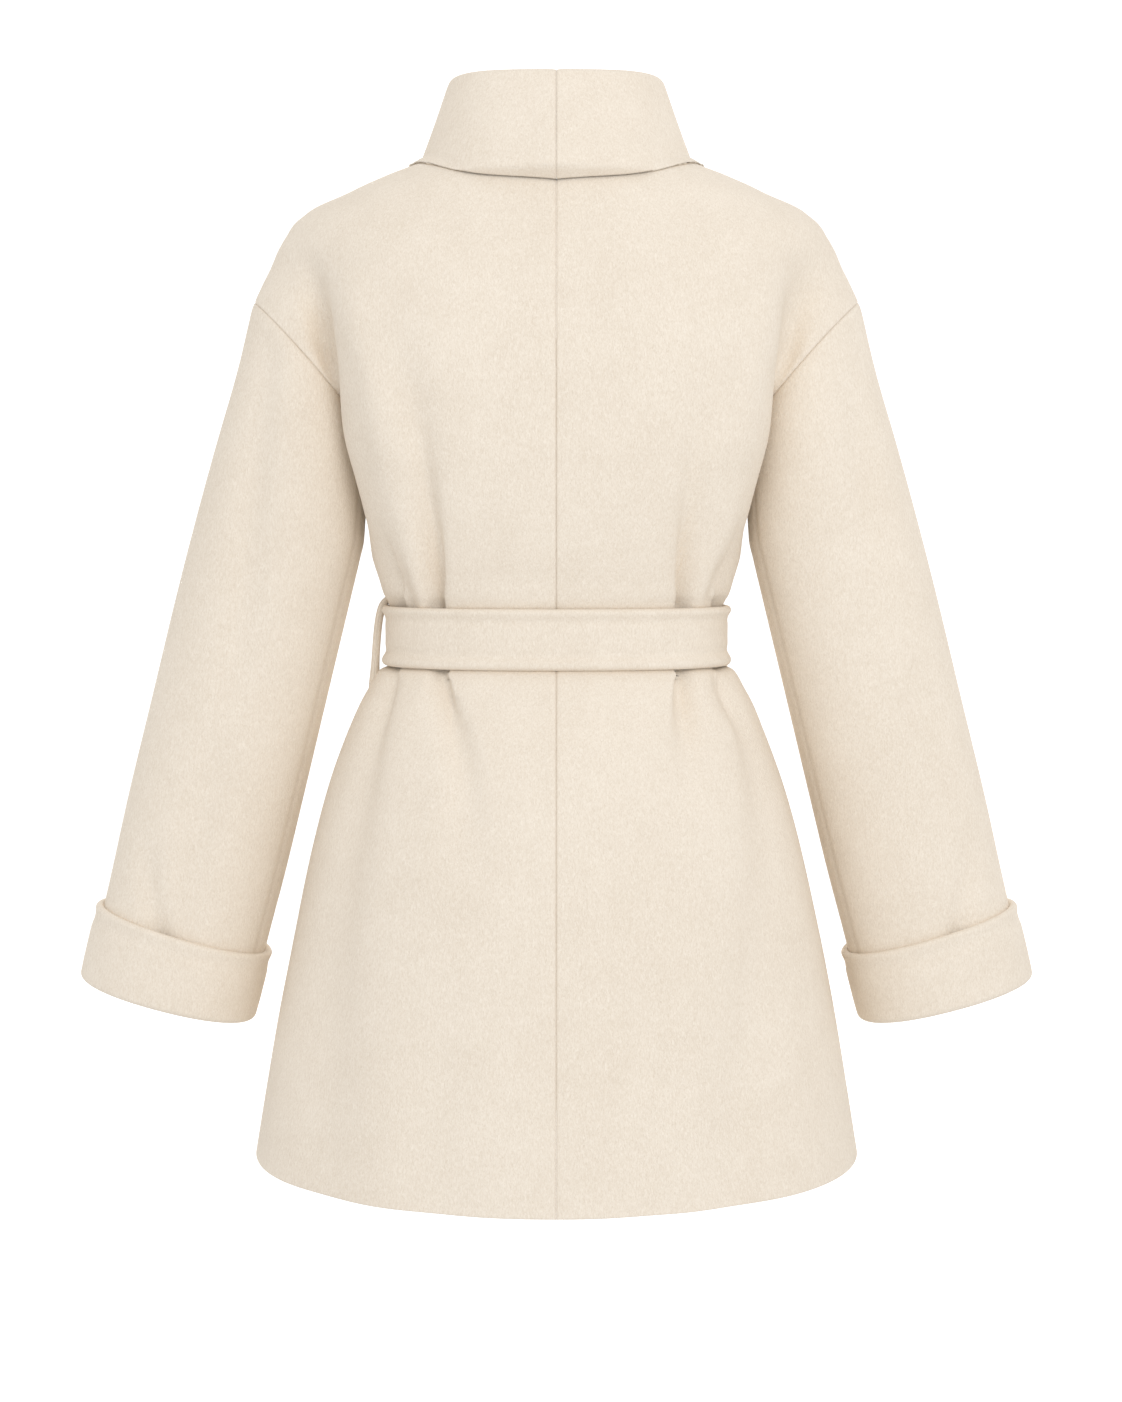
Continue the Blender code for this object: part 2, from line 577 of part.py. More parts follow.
def sleeve_rings():
    """The sleeve's outer face as rings, and the direction down the arm at each."""
    outer_z, inner_z = np.array(SLEEVE["outer_z"], float), np.array(SLEEVE["inner_z"], float)
    outer = np.stack([curve(SLEEVE_OUTER["z"], SLEEVE_OUTER["x"])(outer_z), 0 * outer_z, outer_z], axis=1)
    inner = np.stack([curve(SLEEVE_INNER["z"], SLEEVE_INNER["x"])(inner_z), 0 * inner_z, inner_z], axis=1)
    seam = np.concatenate([armhole(1), armhole(-1)[::-1][1:-1]])
    angle = ring_angles(seam)
    rings = []
    for i in range(len(outer)):
        middle, half = (outer[i] + inner[i]) / 2, (outer[i] - inner[i]) / 2
        middle = middle + np.array([0, SLEEVE["centre_y"][i], 0])
        c, s = np.cos(angle), np.sin(angle)
        power = 2 / SLEEVE_SQUARENESS
        across, deep = np.sign(c) * np.abs(c) ** power, np.sign(s) * np.abs(s) ** power
        depth = np.array([0, SLEEVE["half_depth"][i], 0])
        rings.append(middle + across[:, None] * half + deep[:, None] * depth)
    rings = np.array(rings)
    own_shape = seam - rings[0]
    fade = 1 - ease(0, ARMHOLE_FADE, np.arange(len(rings)))
    rings += fade[:, None, None] * own_shape
    return rings


def ring_angles(seam):
    """The angle of each armhole point round the arm, from the underarm over the back."""
    middle = (ARMHOLE_TOP + UNDERARM) / 2
    half = (ARMHOLE_TOP - UNDERARM) / 2
    q = seam - middle
    return np.arctan2(q[:, 1] / ARMHOLE_HALF_DEPTH, q @ half / (half @ half))


def around_normals(rings):
    """Outward unit normals of closed rings."""
    around = np.roll(rings, -1, axis=1) - np.roll(rings, 1, axis=1)
    down = np.gradient(rings, axis=0)
    normals = unit(np.cross(around, down))
    middle = rings.mean(axis=1, keepdims=True)
    return normals * np.sign(((rings - middle) * normals).sum(-1, keepdims=True))


def sleeve_wall():
    """The sleeve's outer and inner faces, which stop above the cuff's fold."""
    rings = sleeve_rings()
    normals = around_normals(rings)
    body = unit(slope_of(plain_field, rings[0]))
    normals[0] = body
    normals[1] = unit(normals[1] + 0.5 * body)
    rings[0] += (HALF_SEAM) * unit(rings[1] - rings[0])
    outer = rings.copy()
    outer[-1] += (SEAM + CUFF_INNER_LEG) * unit(rings[-2] - rings[-1])
    return outer, outer - WALL * normals


def cuff_faces():
    """The cuff's two faces, a ring of profiles: down the turned-back layer, round the fold and up inside."""
    rings = sleeve_rings()
    normals = around_normals(rings)
    end, up = rings[-1], unit(rings[-2] - rings[-1])
    out = normals[-1]
    roll = (CUFF_STAND_OFF + WALL / 2) / 2
    centre = end + (CUFF_STAND_OFF - roll) * out
    outside = 0.5 + 0.5 * unit(end - end.mean(axis=0))[:, :1]
    depth = CUFF_DEPTH_INSIDE + (CUFF_DEPTH - CUFF_DEPTH_INSIDE) * outside
    profile = [centre + share * depth * up + (roll + bulge) * out
               for share, bulge in ((1, 0), (0.94, 0.6), (0.64, 0.5), (0.32, 0.2))]
    profile.append(centre + roll * (up + out))
    base = centre + roll * up
    for a in np.linspace(0, math.pi, 5)[1:]:
        profile.append(base + roll * (math.cos(a) * out - math.sin(a) * up))
    profile.append(end - WALL / 2 * out + CUFF_INNER_LEG * up)
    net = np.array(profile).transpose(1, 0, 2)
    faces = thick(np.concatenate([net[-1:], net, net[:1]]), CUFF_CLOTH)
    return tuple(face[1:-1] for face in faces)


# ---------------------------------------------------------------- belt


def front_layers(x, y):
    """How thick the right front makes the coat at the belt, with x to the wearer's left."""
    onto = ease(-OVER_NONE_X - 16, -OVER_FULL_X - 12, x) * (1 - ease(OVERLAP + 8, OVERLAP + 34, x))
    return OVER_SKIRT * onto * (y < 0)


def belt_faces():
    """The belt's two faces, from one side of the knot round the back to the other."""
    start = math.asin(3.0 / HALF_WIDTH(BELT_LEVEL))
    angle = np.linspace(start, 2 * math.pi - start, BELT_STEPS + 1)
    x, y = HALF_WIDTH(BELT_LEVEL) * np.sin(angle), -FRONT(BELT_LEVEL) * np.cos(angle)
    at_knot = np.where(y < 0, 1 - ease(16, 62, np.abs(x)), 0)
    height = BELT_HEIGHT + (BELT_HEIGHT_AT_KNOT - BELT_HEIGHT) * at_knot
    cloth = BELT_CLOTH + (BELT_CLOTH_AT_KNOT - BELT_CLOTH) * at_knot
    across = np.linspace(-0.5, 0.5, BELT_ACROSS)
    net = np.stack([x[:, None] + 0 * across, y[:, None] + 0 * across, BELT_LEVEL + height[:, None] * across],
                   axis=2)
    bulge = BELT_ROLL * (2 * across) ** 2

    def belt_field(p):
        level = np.stack([p[..., 0], p[..., 1], np.full_like(p[..., 2], BELT_LEVEL)], axis=-1)
        return gap(level) - front_layers(p[..., 0], p[..., 1]) - BELT_LAYER - cloth[:, None] / 2 - bulge

    return thick(settle(belt_field, net, climb=0), cloth[:, None, None])


def knot_net():
    """The middle of the band that wraps the crossing, a row for each step across it."""
    angle = np.radians(np.linspace(*KNOT_ANGLES, 11))
    c, s = np.cos(angle), np.sin(angle)
    back = FRONT(BELT_LEVEL) + OVER_SKIRT + KNOT_STAND_OFF
    rows = []
    for share in np.linspace(-1, 1, 7):
        spread = 1 + 0.10 * share * share
        y = -back - KNOT_DEPTH * (1.08 - 0.16 * share * share) * c ** 0.7
        z = BELT_LEVEL + KNOT_HALF_HEIGHT * spread * np.sign(s) * np.abs(s) ** 0.7
        x = np.full_like(y, share * KNOT_HALF_WIDTH) * (1 - 0.10 * c)
        rows.append(np.stack([x, y, z], axis=1))
    return np.array(rows)


def belt_end_net(side, length, drift, lift):
    """A hanging end of the belt, a row for each step down it. drift is how far it hangs to its side, and
    lift how far the middle of its cloth lies off the front."""
    down = np.concatenate([[0, 8, 18, 30, 46], np.linspace(70, length, 9)])
    width = BELT_END_WIDTH * (0.5 + 0.5 * ease(4, 75, down))
    across = np.linspace(-0.5, 0.5, 5)
    top = BELT_LEVEL - KNOT_HALF_HEIGHT - 2.2
    rows = []
    for d, w in zip(down, width):
        x = side * (2 + drift * (d / length) ** 1.15) + across * w
        z = np.full_like(x, top - d * 0.985)
        y = np.full_like(x, -FRONT(z[0]))
        rows.append(np.stack([x, y, z], axis=1))
    net = np.array(rows)
    cup = 0.9 * (2 * across) ** 2

    def end_field(p):
        return gap(p) - OVER_SKIRT - lift - cup

    return settle(end_field, net, climb=0)


def loop_net(side, y):
    """A belt loop: a strip that leaves the coat above the belt and meets it again below."""
    knots, steps = np.linspace(0, 1, len(LOOP_PATH["z"])), np.linspace(0, 1, 13)
    z, x = (curve(knots, LOOP_PATH[name])(steps) for name in ("z", "x"))
    foot = np.stack([HALF_WIDTH(z), np.full_like(z, y), z], axis=1)
    foot = settle(plain_field, foot, climb=0)
    away = unit(slope_of(plain_field, foot) * [1, 1, 0])
    middle = foot + away * (x - HALF_WIDTH(z))[:, None]
    sideways = np.stack([-away[:, 1], away[:, 0], 0 * z], axis=1)
    net = np.stack([middle + k * LOOP_WIDTH * sideways for k in (-0.5, 0, 0.5)], axis=1)
    net = held(plain_field, net, LAYER + LOOP_CLOTH / 2, 1e3)
    net[..., 0] *= side
    return net


# ---------------------------------------------------------------- meshes


def material(name, colour, roughness):
    """A plain Principled material for one sub-part."""
    made = bpy.data.materials.new(f"{name}_surface")
    made.use_nodes = True
    shader = made.node_tree.nodes["Principled BSDF"]
    shader.inputs["Base Color"].default_value = colour
    shader.inputs["Roughness"].default_value = roughness
    shader.inputs["Metallic"].default_value = 0.0
    return made


def sheet(name, faces, collection, ring=False, tube=False, mirror=False):
    """A closed wall between two faces, each a net of rows. ring joins the last row to the first, and tube
    joins the last column to the first."""
    outer, inner = (np.array(face) * MM for face in faces)
    if mirror:
        outer, inner = outer * [-1, 1, 1], inner * [-1, 1, 1]
    rows, columns = outer.shape[:2]
    points = np.concatenate([outer.reshape(-1, 3), inner.reshape(-1, 3)])
    inside = rows * columns
    row_steps = rows if ring else rows - 1
    column_steps = columns if tube else columns - 1

    def at(r, c, layer):
        return layer * inside + (r % rows) * columns + c % columns

    polygons = []
    for r in range(row_steps):
        for c in range(column_steps):
            corners = ((r, c), (r, c + 1), (r + 1, c + 1), (r + 1, c))
            polygons.append([at(*corner, 0) for corner in corners])
            polygons.append([at(*corner, 1) for corner in reversed(corners)])
    edges = []
    if not ring:
        edges += [((0, c), (0, c + 1)) for c in range(column_steps)]
        edges += [((rows - 1, c + 1), (rows - 1, c)) for c in range(column_steps)]
    if not tube:
        edges += [((r + 1, 0), (r, 0)) for r in range(row_steps)]
        edges += [((r, columns - 1), (r + 1, columns - 1)) for r in range(row_steps)]
    for a, b in edges:
        polygons.append([at(*b, 0), at(*a, 0), at(*a, 1), at(*b, 1)])
    mesh = bpy.data.meshes.new(name)
    mesh.from_pydata(points.tolist(), [], polygons)
    if signed_volume(mesh) < 0:
        mesh.flip_normals()
    mesh.materials.append(material(name, WOOL, WOOL_ROUGHNESS))
    made = bpy.data.objects.new(name, mesh)
    collection.objects.link(made)
    mesh.shade_smooth()
    mesh.set_sharp_from_angle(angle=math.radians(50))
    return made


def signed_volume(mesh):
    """The mesh's volume, below 0 where its faces point in."""
    mesh.calc_loop_triangles()
    corner = np.empty(len(mesh.vertices) * 3)
    mesh.vertices.foreach_get("co", corner)
    index = np.empty(len(mesh.loop_triangles) * 3, np.int32)
    mesh.loop_triangles.foreach_get("vertices", index)
    return np.linalg.det(corner.reshape(-1, 3)[index.reshape(-1, 3)]).sum()


def button(name, x, z, collection, cutters):
    """A dished button with a rim and four holes, its back a little off the cloth."""
    field = over_field if abs(x) <= OVERLAP + 20 else plain_field
    own_side = np.array([[-x, -FRONT(z), z]], float)
    face = settle(field, own_side, climb=0)[0]
    normal = unit(slope_of(field, face[None])[0])
    face, normal = face * [-1, 1, 1], normal * [-1, 1, 1]
    radius, thickness, rim = BUTTON_RADIUS * MM, BUTTON_THICKNESS * MM, BUTTON_RIM * MM
    floor = thickness - MM
    profile = [(0, 0), (radius - 1.5 * MM, 0), (radius, 1.2 * MM), (radius, floor),
               (radius - 0.8 * MM, thickness), (radius - rim, thickness),
               (radius - rim - 1.2 * MM, floor), (0, floor)]
    mesh = bpy.data.meshes.new(name)
    path = [(r, 0, h) for r, h in reversed(profile)]
    mesh.from_pydata(path, [(i, i + 1) for i in range(len(path) - 1)], [])
    made = bpy.data.objects.new(name, mesh)
    collection.objects.link(made)
    turn = made.modifiers.new("turned", "SCREW")
    turn.steps = turn.render_steps = 18
    turn.use_merge_vertices = True
    turn.merge_threshold = 0.00005
    for i in range(4):
        angle = math.radians(45 + 90 * i)
        bpy.ops.mesh.primitive_cylinder_add(vertices=6, radius=BUTTON_HOLE_RADIUS * MM, depth=20 * MM)
        hole = bpy.context.object
        for holder in list(hole.users_collection):
            holder.objects.unlink(hole)
        cutters.objects.link(hole)
        hole.name = f"{name}_hole_{i + 1}"
        hole.hide_render = True
        hole.display_type = "WIRE"
        hole.parent = made
        spread = BUTTON_HOLE_SPREAD * MM
        hole.location = (spread * math.cos(angle), spread * math.sin(angle), 0)
        cut = made.modifiers.new("hole", "BOOLEAN")
        cut.operation = "DIFFERENCE"
        cut.object = hole
    mesh.materials.append(material(name, HORN, HORN_ROUGHNESS))
    made.location = (face + normal * LAYER) * MM
    made.rotation_mode = "QUATERNION"
    made.rotation_quaternion = Vector(normal).to_track_quat("Z", "Y")
    return made


def main():
    """Builds the coat."""
    for old in list(bpy.data.objects):
        bpy.data.objects.remove(old, do_unlink=True)
    coat = bpy.data.collections.new("coat")
    cutters = bpy.data.collections.new("coat_cutters")
    for collection in (coat, cutters):
        bpy.context.scene.collection.children.link(collection)

    back = wall_of(*panel_net("back", plain_field))
    sheet("back_left", back, coat)
    sheet("back_right", back, coat, mirror=True)
    sheet("front_left", wall_of(*panel_net("front", plain_field)), coat)
    sheet("front_right", wall_of(*panel_net("front", over_field)), coat, mirror=True)
    sleeve, cuff = sleeve_wall(), cuff_faces()
    for name, flip in (("left", False), ("right", True)):
        sheet(f"sleeve_{name}", sleeve, coat, tube=True, mirror=flip)
        sheet(f"cuff_{name}", cuff, coat, ring=True, mirror=flip)
    sheet("collar_left", collar_faces(plain_field), coat)
    sheet("collar_right", collar_faces(over_field), coat, mirror=True)
    sheet("belt", belt_faces(), coat)
    sheet("belt_knot", thick(knot_net(), BELT_CLOTH), coat)
    for name, side in (("left", 1), ("right", -1)):
        sheet(f"belt_end_{name}", thick(belt_end_net(side, **BELT_ENDS[name]), BELT_END_CLOTH), coat)
        sheet(f"belt_loop_{name}", thick(loop_net(side, LOOP_Y[name]), LOOP_CLOTH), coat)
    places = [(x, z) for z in BUTTON_ROWS for x in (BUTTON_X, -BUTTON_X)]
    for number, (x, z) in enumerate(places, start=1):
        button(f"button_{number}", x, z, coat, cutters)


main()
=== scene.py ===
"""Dresses a double-breasted belted coat in cream felted wool, seen from the back, in a plain pale studio.

Every panel of the coat is laid again, finely, on the same form that its solids were cut from, and then gets
what the solids leave out: turned edges, sunk seams with painted shade along them, the belt's pinched pleats,
stitches and the nap.
"""

import logging
import math
from dataclasses import dataclass, field
from enum import Enum
from typing import Callable

import bpy
import numpy as np
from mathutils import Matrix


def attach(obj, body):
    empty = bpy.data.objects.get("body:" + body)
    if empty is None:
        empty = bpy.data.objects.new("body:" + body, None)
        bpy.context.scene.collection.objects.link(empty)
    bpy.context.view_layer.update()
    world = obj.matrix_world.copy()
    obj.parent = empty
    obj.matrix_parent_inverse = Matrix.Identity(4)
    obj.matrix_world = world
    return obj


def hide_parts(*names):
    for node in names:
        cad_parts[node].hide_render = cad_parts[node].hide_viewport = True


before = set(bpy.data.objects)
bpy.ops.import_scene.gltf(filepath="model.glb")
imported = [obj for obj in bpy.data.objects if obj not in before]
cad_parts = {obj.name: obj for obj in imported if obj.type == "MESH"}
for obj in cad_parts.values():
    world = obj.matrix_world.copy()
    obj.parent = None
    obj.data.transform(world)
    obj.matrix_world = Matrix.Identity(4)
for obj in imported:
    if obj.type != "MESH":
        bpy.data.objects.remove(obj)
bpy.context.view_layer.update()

LOG = logging.getLogger("coat")
MM = 0.001
TINY = 1e-9
Array = np.ndarray
Field = Callable[[Array], Array]
Table = dict[str, list[float]]
Colour = tuple[float, float, float]


# ---------------------------------------------------------------- choices


class Panel(Enum):
    """The two panels of each half of the body."""

    BACK = 1
    FRONT = -1


class Edge(Enum):
    """How one edge of a wall of cloth is finished."""

    TURNED = "turned"
    SEWN = "sewn"
    RAW = "raw"


class Half(Enum):
    """The wearer's left half, which is worked out, and the right one, which mirrors it."""

    LEFT = 1
    RIGHT = -1


# ---------------------------------------------------------------- curves


def curve(knots: object, values: object) -> Callable[[object], Array]:
    """Make a smooth function through a table's rows, without overshoot, straight beyond its ends.

    Args:
        knots: where the rows lie.
        values: what the function is there.

    Returns:
        The function.
    """
    x, y = np.asarray(knots, float), np.asarray(values, float)
    if x[0] > x[-1]:
        x, y = x[::-1], y[::-1]
    step = np.diff(x)
    rise = np.diff(y) / step
    slope = np.empty_like(y)
    slope[0], slope[-1] = rise[0], rise[-1]
    left, right = rise[:-1], rise[1:]
    weight_left, weight_right = 2 * step[1:] + step[:-1], step[1:] + 2 * step[:-1]
    same_way = left * right > 0
    safe_left, safe_right = np.where(same_way, left, 1), np.where(same_way, right, 1)
    mean = (weight_left + weight_right) / (weight_left / safe_left + weight_right / safe_right)
    slope[1:-1] = np.where(same_way, mean, 0)

    def at(query: object) -> Array:
        """The function's values at these places."""
        query = np.asarray(query, float)
        i = np.clip(np.searchsorted(x, query) - 1, 0, len(step) - 1)
        t = np.clip((query - x[i]) / step[i], 0, 1)
        inside = (
            (1 + 2 * t) * (1 - t) ** 2 * y[i]
            + t * (1 - t) ** 2 * step[i] * slope[i]
            + t * t * (3 - 2 * t) * y[i + 1]
            + t * t * (t - 1) * step[i] * slope[i + 1]
        )
        below, above = np.minimum(query - x[0], 0), np.maximum(query - x[-1], 0)
        return inside + below * slope[0] + above * slope[-1]

    return at


def ease(low: float | Array, high: float | Array, value: object) -> Array:
    """0 below low, 1 above high and smooth between them."""
    t = np.clip((np.asarray(value, float) - low) / (high - low), 0, 1)
    return t * t * (3 - 2 * t)


def hill(value: object, centre: float | Array, width: float | Array) -> Array:
    """A soft bump, 1 at its centre."""
    return np.exp(-(((np.asarray(value, float) - centre) / width) ** 2))


def rounded(run: Array, radius: float | Array) -> Array:
    """How far a face falls back, this far in from an edge that is rounded at this radius."""
    inside = np.clip(run / radius, 0, 1)
    return radius * (1 - np.sqrt(np.maximum(1 - (1 - inside) ** 2, 0)))


def unit(vectors: Array) -> Array:
    """The vectors at length 1."""
    return vectors / np.maximum(np.linalg.norm(vectors, axis=-1, keepdims=True), TINY)


def rows_of(**rows: list[float]) -> Table:
    """A dataclass field for a table with named rows."""
    return field(default_factory=lambda: {name: list(row) for name, row in rows.items()})


def point(*place: float) -> Array:
    """A dataclass field for a point."""
    return field(default_factory=lambda: np.array(place))


def run_of(points: Array) -> Array:
    """How far along a polyline each of its points lies."""
    return np.concatenate([[0], np.cumsum(np.linalg.norm(np.diff(points, axis=0), axis=1))])


def along_path(points: Array, shares: object) -> Array:
    """Points at these shares of a polyline's length."""
    run = run_of(points)
    wanted = np.asarray(shares, float) * run[-1]
    return np.stack([np.interp(wanted, run, points[:, k]) for k in range(3)], axis=1)


def smooth_low(a: Array, b: Array, radius: float | Array) -> Array:
    """The lower of two gaps, rounded over radius where they cross."""
    h = np.clip(0.5 + 0.5 * (b - a) / radius, 0, 1)
    return b + (a - b) * h - radius * h * (1 - h)


def softened(values: Array, passes: int, axis: int) -> Array:
    """Values averaged with their neighbours along an axis, with the ends held."""
    for _ in range(passes):
        middle = np.moveaxis(values, axis, 0)
        middle = middle.copy()
        middle[1:-1] = 0.25 * middle[:-2] + 0.5 * middle[1:-1] + 0.25 * middle[2:]
        values = np.moveaxis(middle, 0, axis)
    return values


def fine_steps(length: float, spacing: float, start: bool = True, end: bool = True) -> Array:
    """Distances along an edge-to-edge line, close together near the ends that get a turned edge.

    Args:
        length: the line's length in millimetres.
        spacing: the distance between points away from the ends.
        start: whether the line's start gets the close points.
        end: whether its end does.

    Returns:
        The distances, from 0 to length.
    """
    near = np.array([0, 0.15, 0.45, 0.85, 1.35, 2.0, 2.9, 4.2, 6.0])
    head = near if start else np.array([0.0])
    tail = length - near[::-1] if end else np.array([length])
    count = max(2, int(round((tail[0] - head[-1]) / spacing)))
    middle = np.linspace(head[-1], tail[0], count + 1)[1:-1]
    return np.concatenate([head, middle, tail])


# ---------------------------------------------------------------- the coat's form


@dataclass(frozen=True)
class Cloth:
    """The thickness of each kind of cloth, and the gaps between them, in millimetres."""

    wall: float = 3.0
    seam: float = 0.3
    belt: float = 5.0
    layer: float = 0.6
    cuff: float = 3.4
    belt_end: float = 4.0
    loop: float = 6.2
    knot: float = 5.0


CLOTH = Cloth()
TURNED_SHARE = 0.48


@dataclass(frozen=True)
class SewnEdge:
    """How the two faces of a wall sink along a sewn edge, and how wide the painted shade along it is, in
    millimetres.
    """

    crease: float = 0.8
    crease_width: float = 0.75
    hollow: float = 0.4
    hollow_width: float = 4.0
    inside: float = 0.8
    inside_width: float = 1.5
    # how wide the painted shade along a sewn edge is
    pressed_width: float = 0.8
    drawn_in: float = 0.3


SEAM = SewnEdge()


@dataclass(frozen=True)
class Heights:
    """Heights from the base of the neck, in millimetres."""

    hem: float = -797.5
    hem_dip: float = 13.2
    belt: float = -381.6
    break_of_lapel: float = -300.0
    armpit: float = -212.0
    nape: float = -1.0


LEVEL = Heights()


@dataclass
class CoatForm:
    """The coat's outer form, as a field that says how far a point lies outside the cloth."""

    torso: Table = rows_of(
        height=[-812, -744, -676, -611, -546, -498, -466, -434, -422, -414, -409, -405.5, -398, -382,
                   -366, -358, -353.5, -349, -338, -322, -306, -259, -226, -180, -145, -118, -100, -83,
                   -65, -49, -35, -21, -11, -1, 9],
        half_width=[245, 234, 222.5, 209.5, 194.8, 181.5, 170, 156, 149.3, 145, 141, 133.2, 129.8, 129.5,
                       129.9, 133, 135, 137.6, 141, 146, 149.8, 161.5, 169.5, 175, 181.5, 185.5, 188.5, 192,
                       193, 184, 167, 138, 112, 87, 73],
        back=[180, 172, 164, 156, 147, 138, 128, 113, 107.5, 103, 98.8, 95.4, 90.4, 90,
                 90.6, 93.6, 95.2, 96.6, 99, 104, 108, 116, 119, 120, 118, 114, 111, 107,
                 101, 95, 90, 83, 77, 71, 64],
        front=[172, 167, 161, 155, 147, 139, 131, 120, 116, 113, 110, 107, 106, 105.5,
                  106, 107.5, 110, 112.5, 118, 126, 133, 146, 144, 136, 125, 114, 107, 99,
                  92, 86, 81, 75, 70, 64, 57],
        squareness=[2.1, 2.1, 2.1, 2.15, 2.2, 2.2, 2.25, 2.3, 2.3, 2.3, 2.3, 2.3, 2.3, 2.3,
                       2.3, 2.35, 2.35, 2.4, 2.45, 2.5, 2.6, 2.9, 3.1, 3.3, 3.3, 3.2, 3.0, 2.8,
                       2.6, 2.4, 2.3, 2.2, 2.1, 2.0, 2.0],
        side_dent=[0] * 20 + [1.7, 13.4, 20, 20.5, 16, 6] + [0] * 9,
    )
    dent_y: float = -12.0
    dent_reach: float = 46.0
    armhole_top: Array = point(236.0, -12.0, -119.5)
    underarm: Array = point(155.5, -12.0, -212.0)
    armhole_half_depth: float = 54.0
    armhole_bow: float = 2.5
    shoulder_ball: Array = point(176.0, -12.0, -121.0)
    shoulder_radii: tuple[float, float, float] = (59.0, 52.0, 66.0)
    arm_tilt: float = math.radians(14.0)
    stub_back: float = 30.0
    stub_cap: float = 70.0
    stub_blend: float = 20.0
    crease: Table = rows_of(height=[-212, -180, -150, -118, -95, -75, -50, -25, 0],
                            radius=[5, 6, 9, 20, 38, 50, 46, 20, 5])
    overlap: float = 75.0
    over_skirt: float = 4.2
    over_chest: float = 9.4
    over_climb: tuple[float, float] = (-352.0, -312.0)
    over_reach: tuple[float, float] = (80.0, 128.0)
    over_behind: tuple[float, float] = (-80.0, -30.0)
    probe: float = 0.05

    def __post_init__(self) -> None:
        """Make the form's smooth sections from its table."""
        self.half_width, self.back, self.front, self.squareness, self.side_dent = (
            curve(self.torso["height"], self.torso[name])
            for name in ("half_width", "back", "front", "squareness", "side_dent")
        )
        self.crease_radius = curve(self.crease["height"], self.crease["radius"])

    def slope(self, field: Field, p: Array) -> Array:
        """The field's gradient at p."""
        h = self.probe
        return np.stack([(field(p + h * e) - field(p - h * e)) / (2 * h) for e in np.eye(3)], axis=-1)

    def torso_size(self, p: Array) -> Array:
        """How far p lies outside the torso, measured level from its axis."""
        x, y, z = np.abs(p[..., 0]), p[..., 1], p[..., 2]
        depth = np.where(y > 0, self.back(z), self.front(z))
        dent = self.side_dent(z) * np.exp(-(((y - self.dent_y) / self.dent_reach) ** 4))
        n = self.squareness(z)
        size = ((x / (self.half_width(z) - dent)) ** n + (np.abs(y) / depth) ** n) ** (1 / n)
        return np.hypot(x, y) * (1 - 1 / np.maximum(size, 1e-6))

    def torso_gap(self, p: Array) -> Array:
        """How far p lies outside the torso, square to its surface."""
        slope = np.linalg.norm(self.slope(self.torso_size, p), axis=-1)
        return self.torso_size(p) / np.maximum(slope, 0.5)

    def shoulder_gap(self, p: Array) -> Array:
        """How far p lies outside the rounded shoulder and the arm's stub."""
        p = np.stack([np.abs(p[..., 0]), p[..., 1], p[..., 2]], axis=-1)
        down_arm = np.array([math.sin(self.arm_tilt), 0, -math.cos(self.arm_tilt)])
        over_arm = np.array([math.cos(self.arm_tilt), 0, math.sin(self.arm_tilt)])
        q = p - self.shoulder_ball
        ball = np.sqrt(
            (q @ over_arm / self.shoulder_radii[0]) ** 2
            + (q[..., 1] / self.shoulder_radii[1]) ** 2
            + (q @ down_arm / self.shoulder_radii[2]) ** 2
        )
        ball_gap = (ball - 1) * self.shoulder_radii[1]
        across = unit(self.armhole_top - self.underarm)
        outward = np.array([across[2], 0, -across[0]])
        half_length = np.linalg.norm(self.armhole_top - self.underarm) / 2
        q = p - (self.armhole_top + self.underarm) / 2
        behind = np.minimum(q @ outward + self.stub_back, 0)
        stub = np.sqrt((q @ across / half_length) ** 2 + (q[..., 1] / self.armhole_half_depth) ** 2
                       + (behind / self.stub_cap) ** 2)
        return smooth_low(ball_gap, (stub - 1) * self.armhole_half_depth, self.stub_blend)

    def gap(self, p: Array) -> Array:
        """How far p lies outside the coat's form: 0 on the outer face of the cloth."""
        radii = self.crease["radius"]
        radius = np.clip(self.crease_radius(p[..., 2]), min(radii), max(radii))
        return smooth_low(self.torso_gap(p), self.shoulder_gap(p), radius)

    def settle(self, field: Field, p: Array, climb: object = 1.0, rounds: int = 8) -> Array:
        """Move points onto the field's zero along its gradient.

        Args:
            field: the field to lie on.
            p: the points.
            climb: how freely they change height, 0 for not at all.
            rounds: how many steps to take.

        Returns:
            The moved points.
        """
        freedom = np.ones(p.shape)
        freedom[..., 2] = climb
        for _ in range(rounds):
            g = self.slope(field, p) * freedom
            p = p - field(p)[..., None] * g / np.maximum((g * g).sum(-1, keepdims=True), 1e-6)
        return p

    def held(self, field: Field, points: Array, least: object, most: object) -> Array:
        """Points moved to lie at least and at most this far outside the field."""
        for _ in range(6):
            value = field(points)
            wrong = value - np.clip(value, least, most)
            slope = self.slope(field, points)
            size = np.maximum((slope * slope).sum(-1, keepdims=True), 1e-6)
            points = points - wrong[..., None] * slope / size
        return points

    def over(self, x: Array, z: Array) -> Array:
        """How far the right front stands out, with x counted from the centre to its own side."""
        rise = self.over_skirt + (self.over_chest - self.over_skirt) * ease(*self.over_climb, z)
        return (1 - ease(*self.over_reach, x)) * rise

    def over_field(self, p: Array) -> Array:
        """The outer face of the right front, mirrored to the left side."""
        return self.gap(p) - self.over(p[..., 0], p[..., 2]) * (1 - ease(*self.over_behind, p[..., 1]))

    def around(self, p: Array) -> Array:
        """How far round its quarter of the body p lies, from 0 at the centre to 1 at the side seam."""
        x, y, z = np.abs(p[..., 0]), p[..., 1], p[..., 2]
        depth = np.where(y > 0, self.back(z), self.front(z))
        return np.arctan2(x / self.half_width(z), np.abs(y) / depth) / (math.pi / 2)


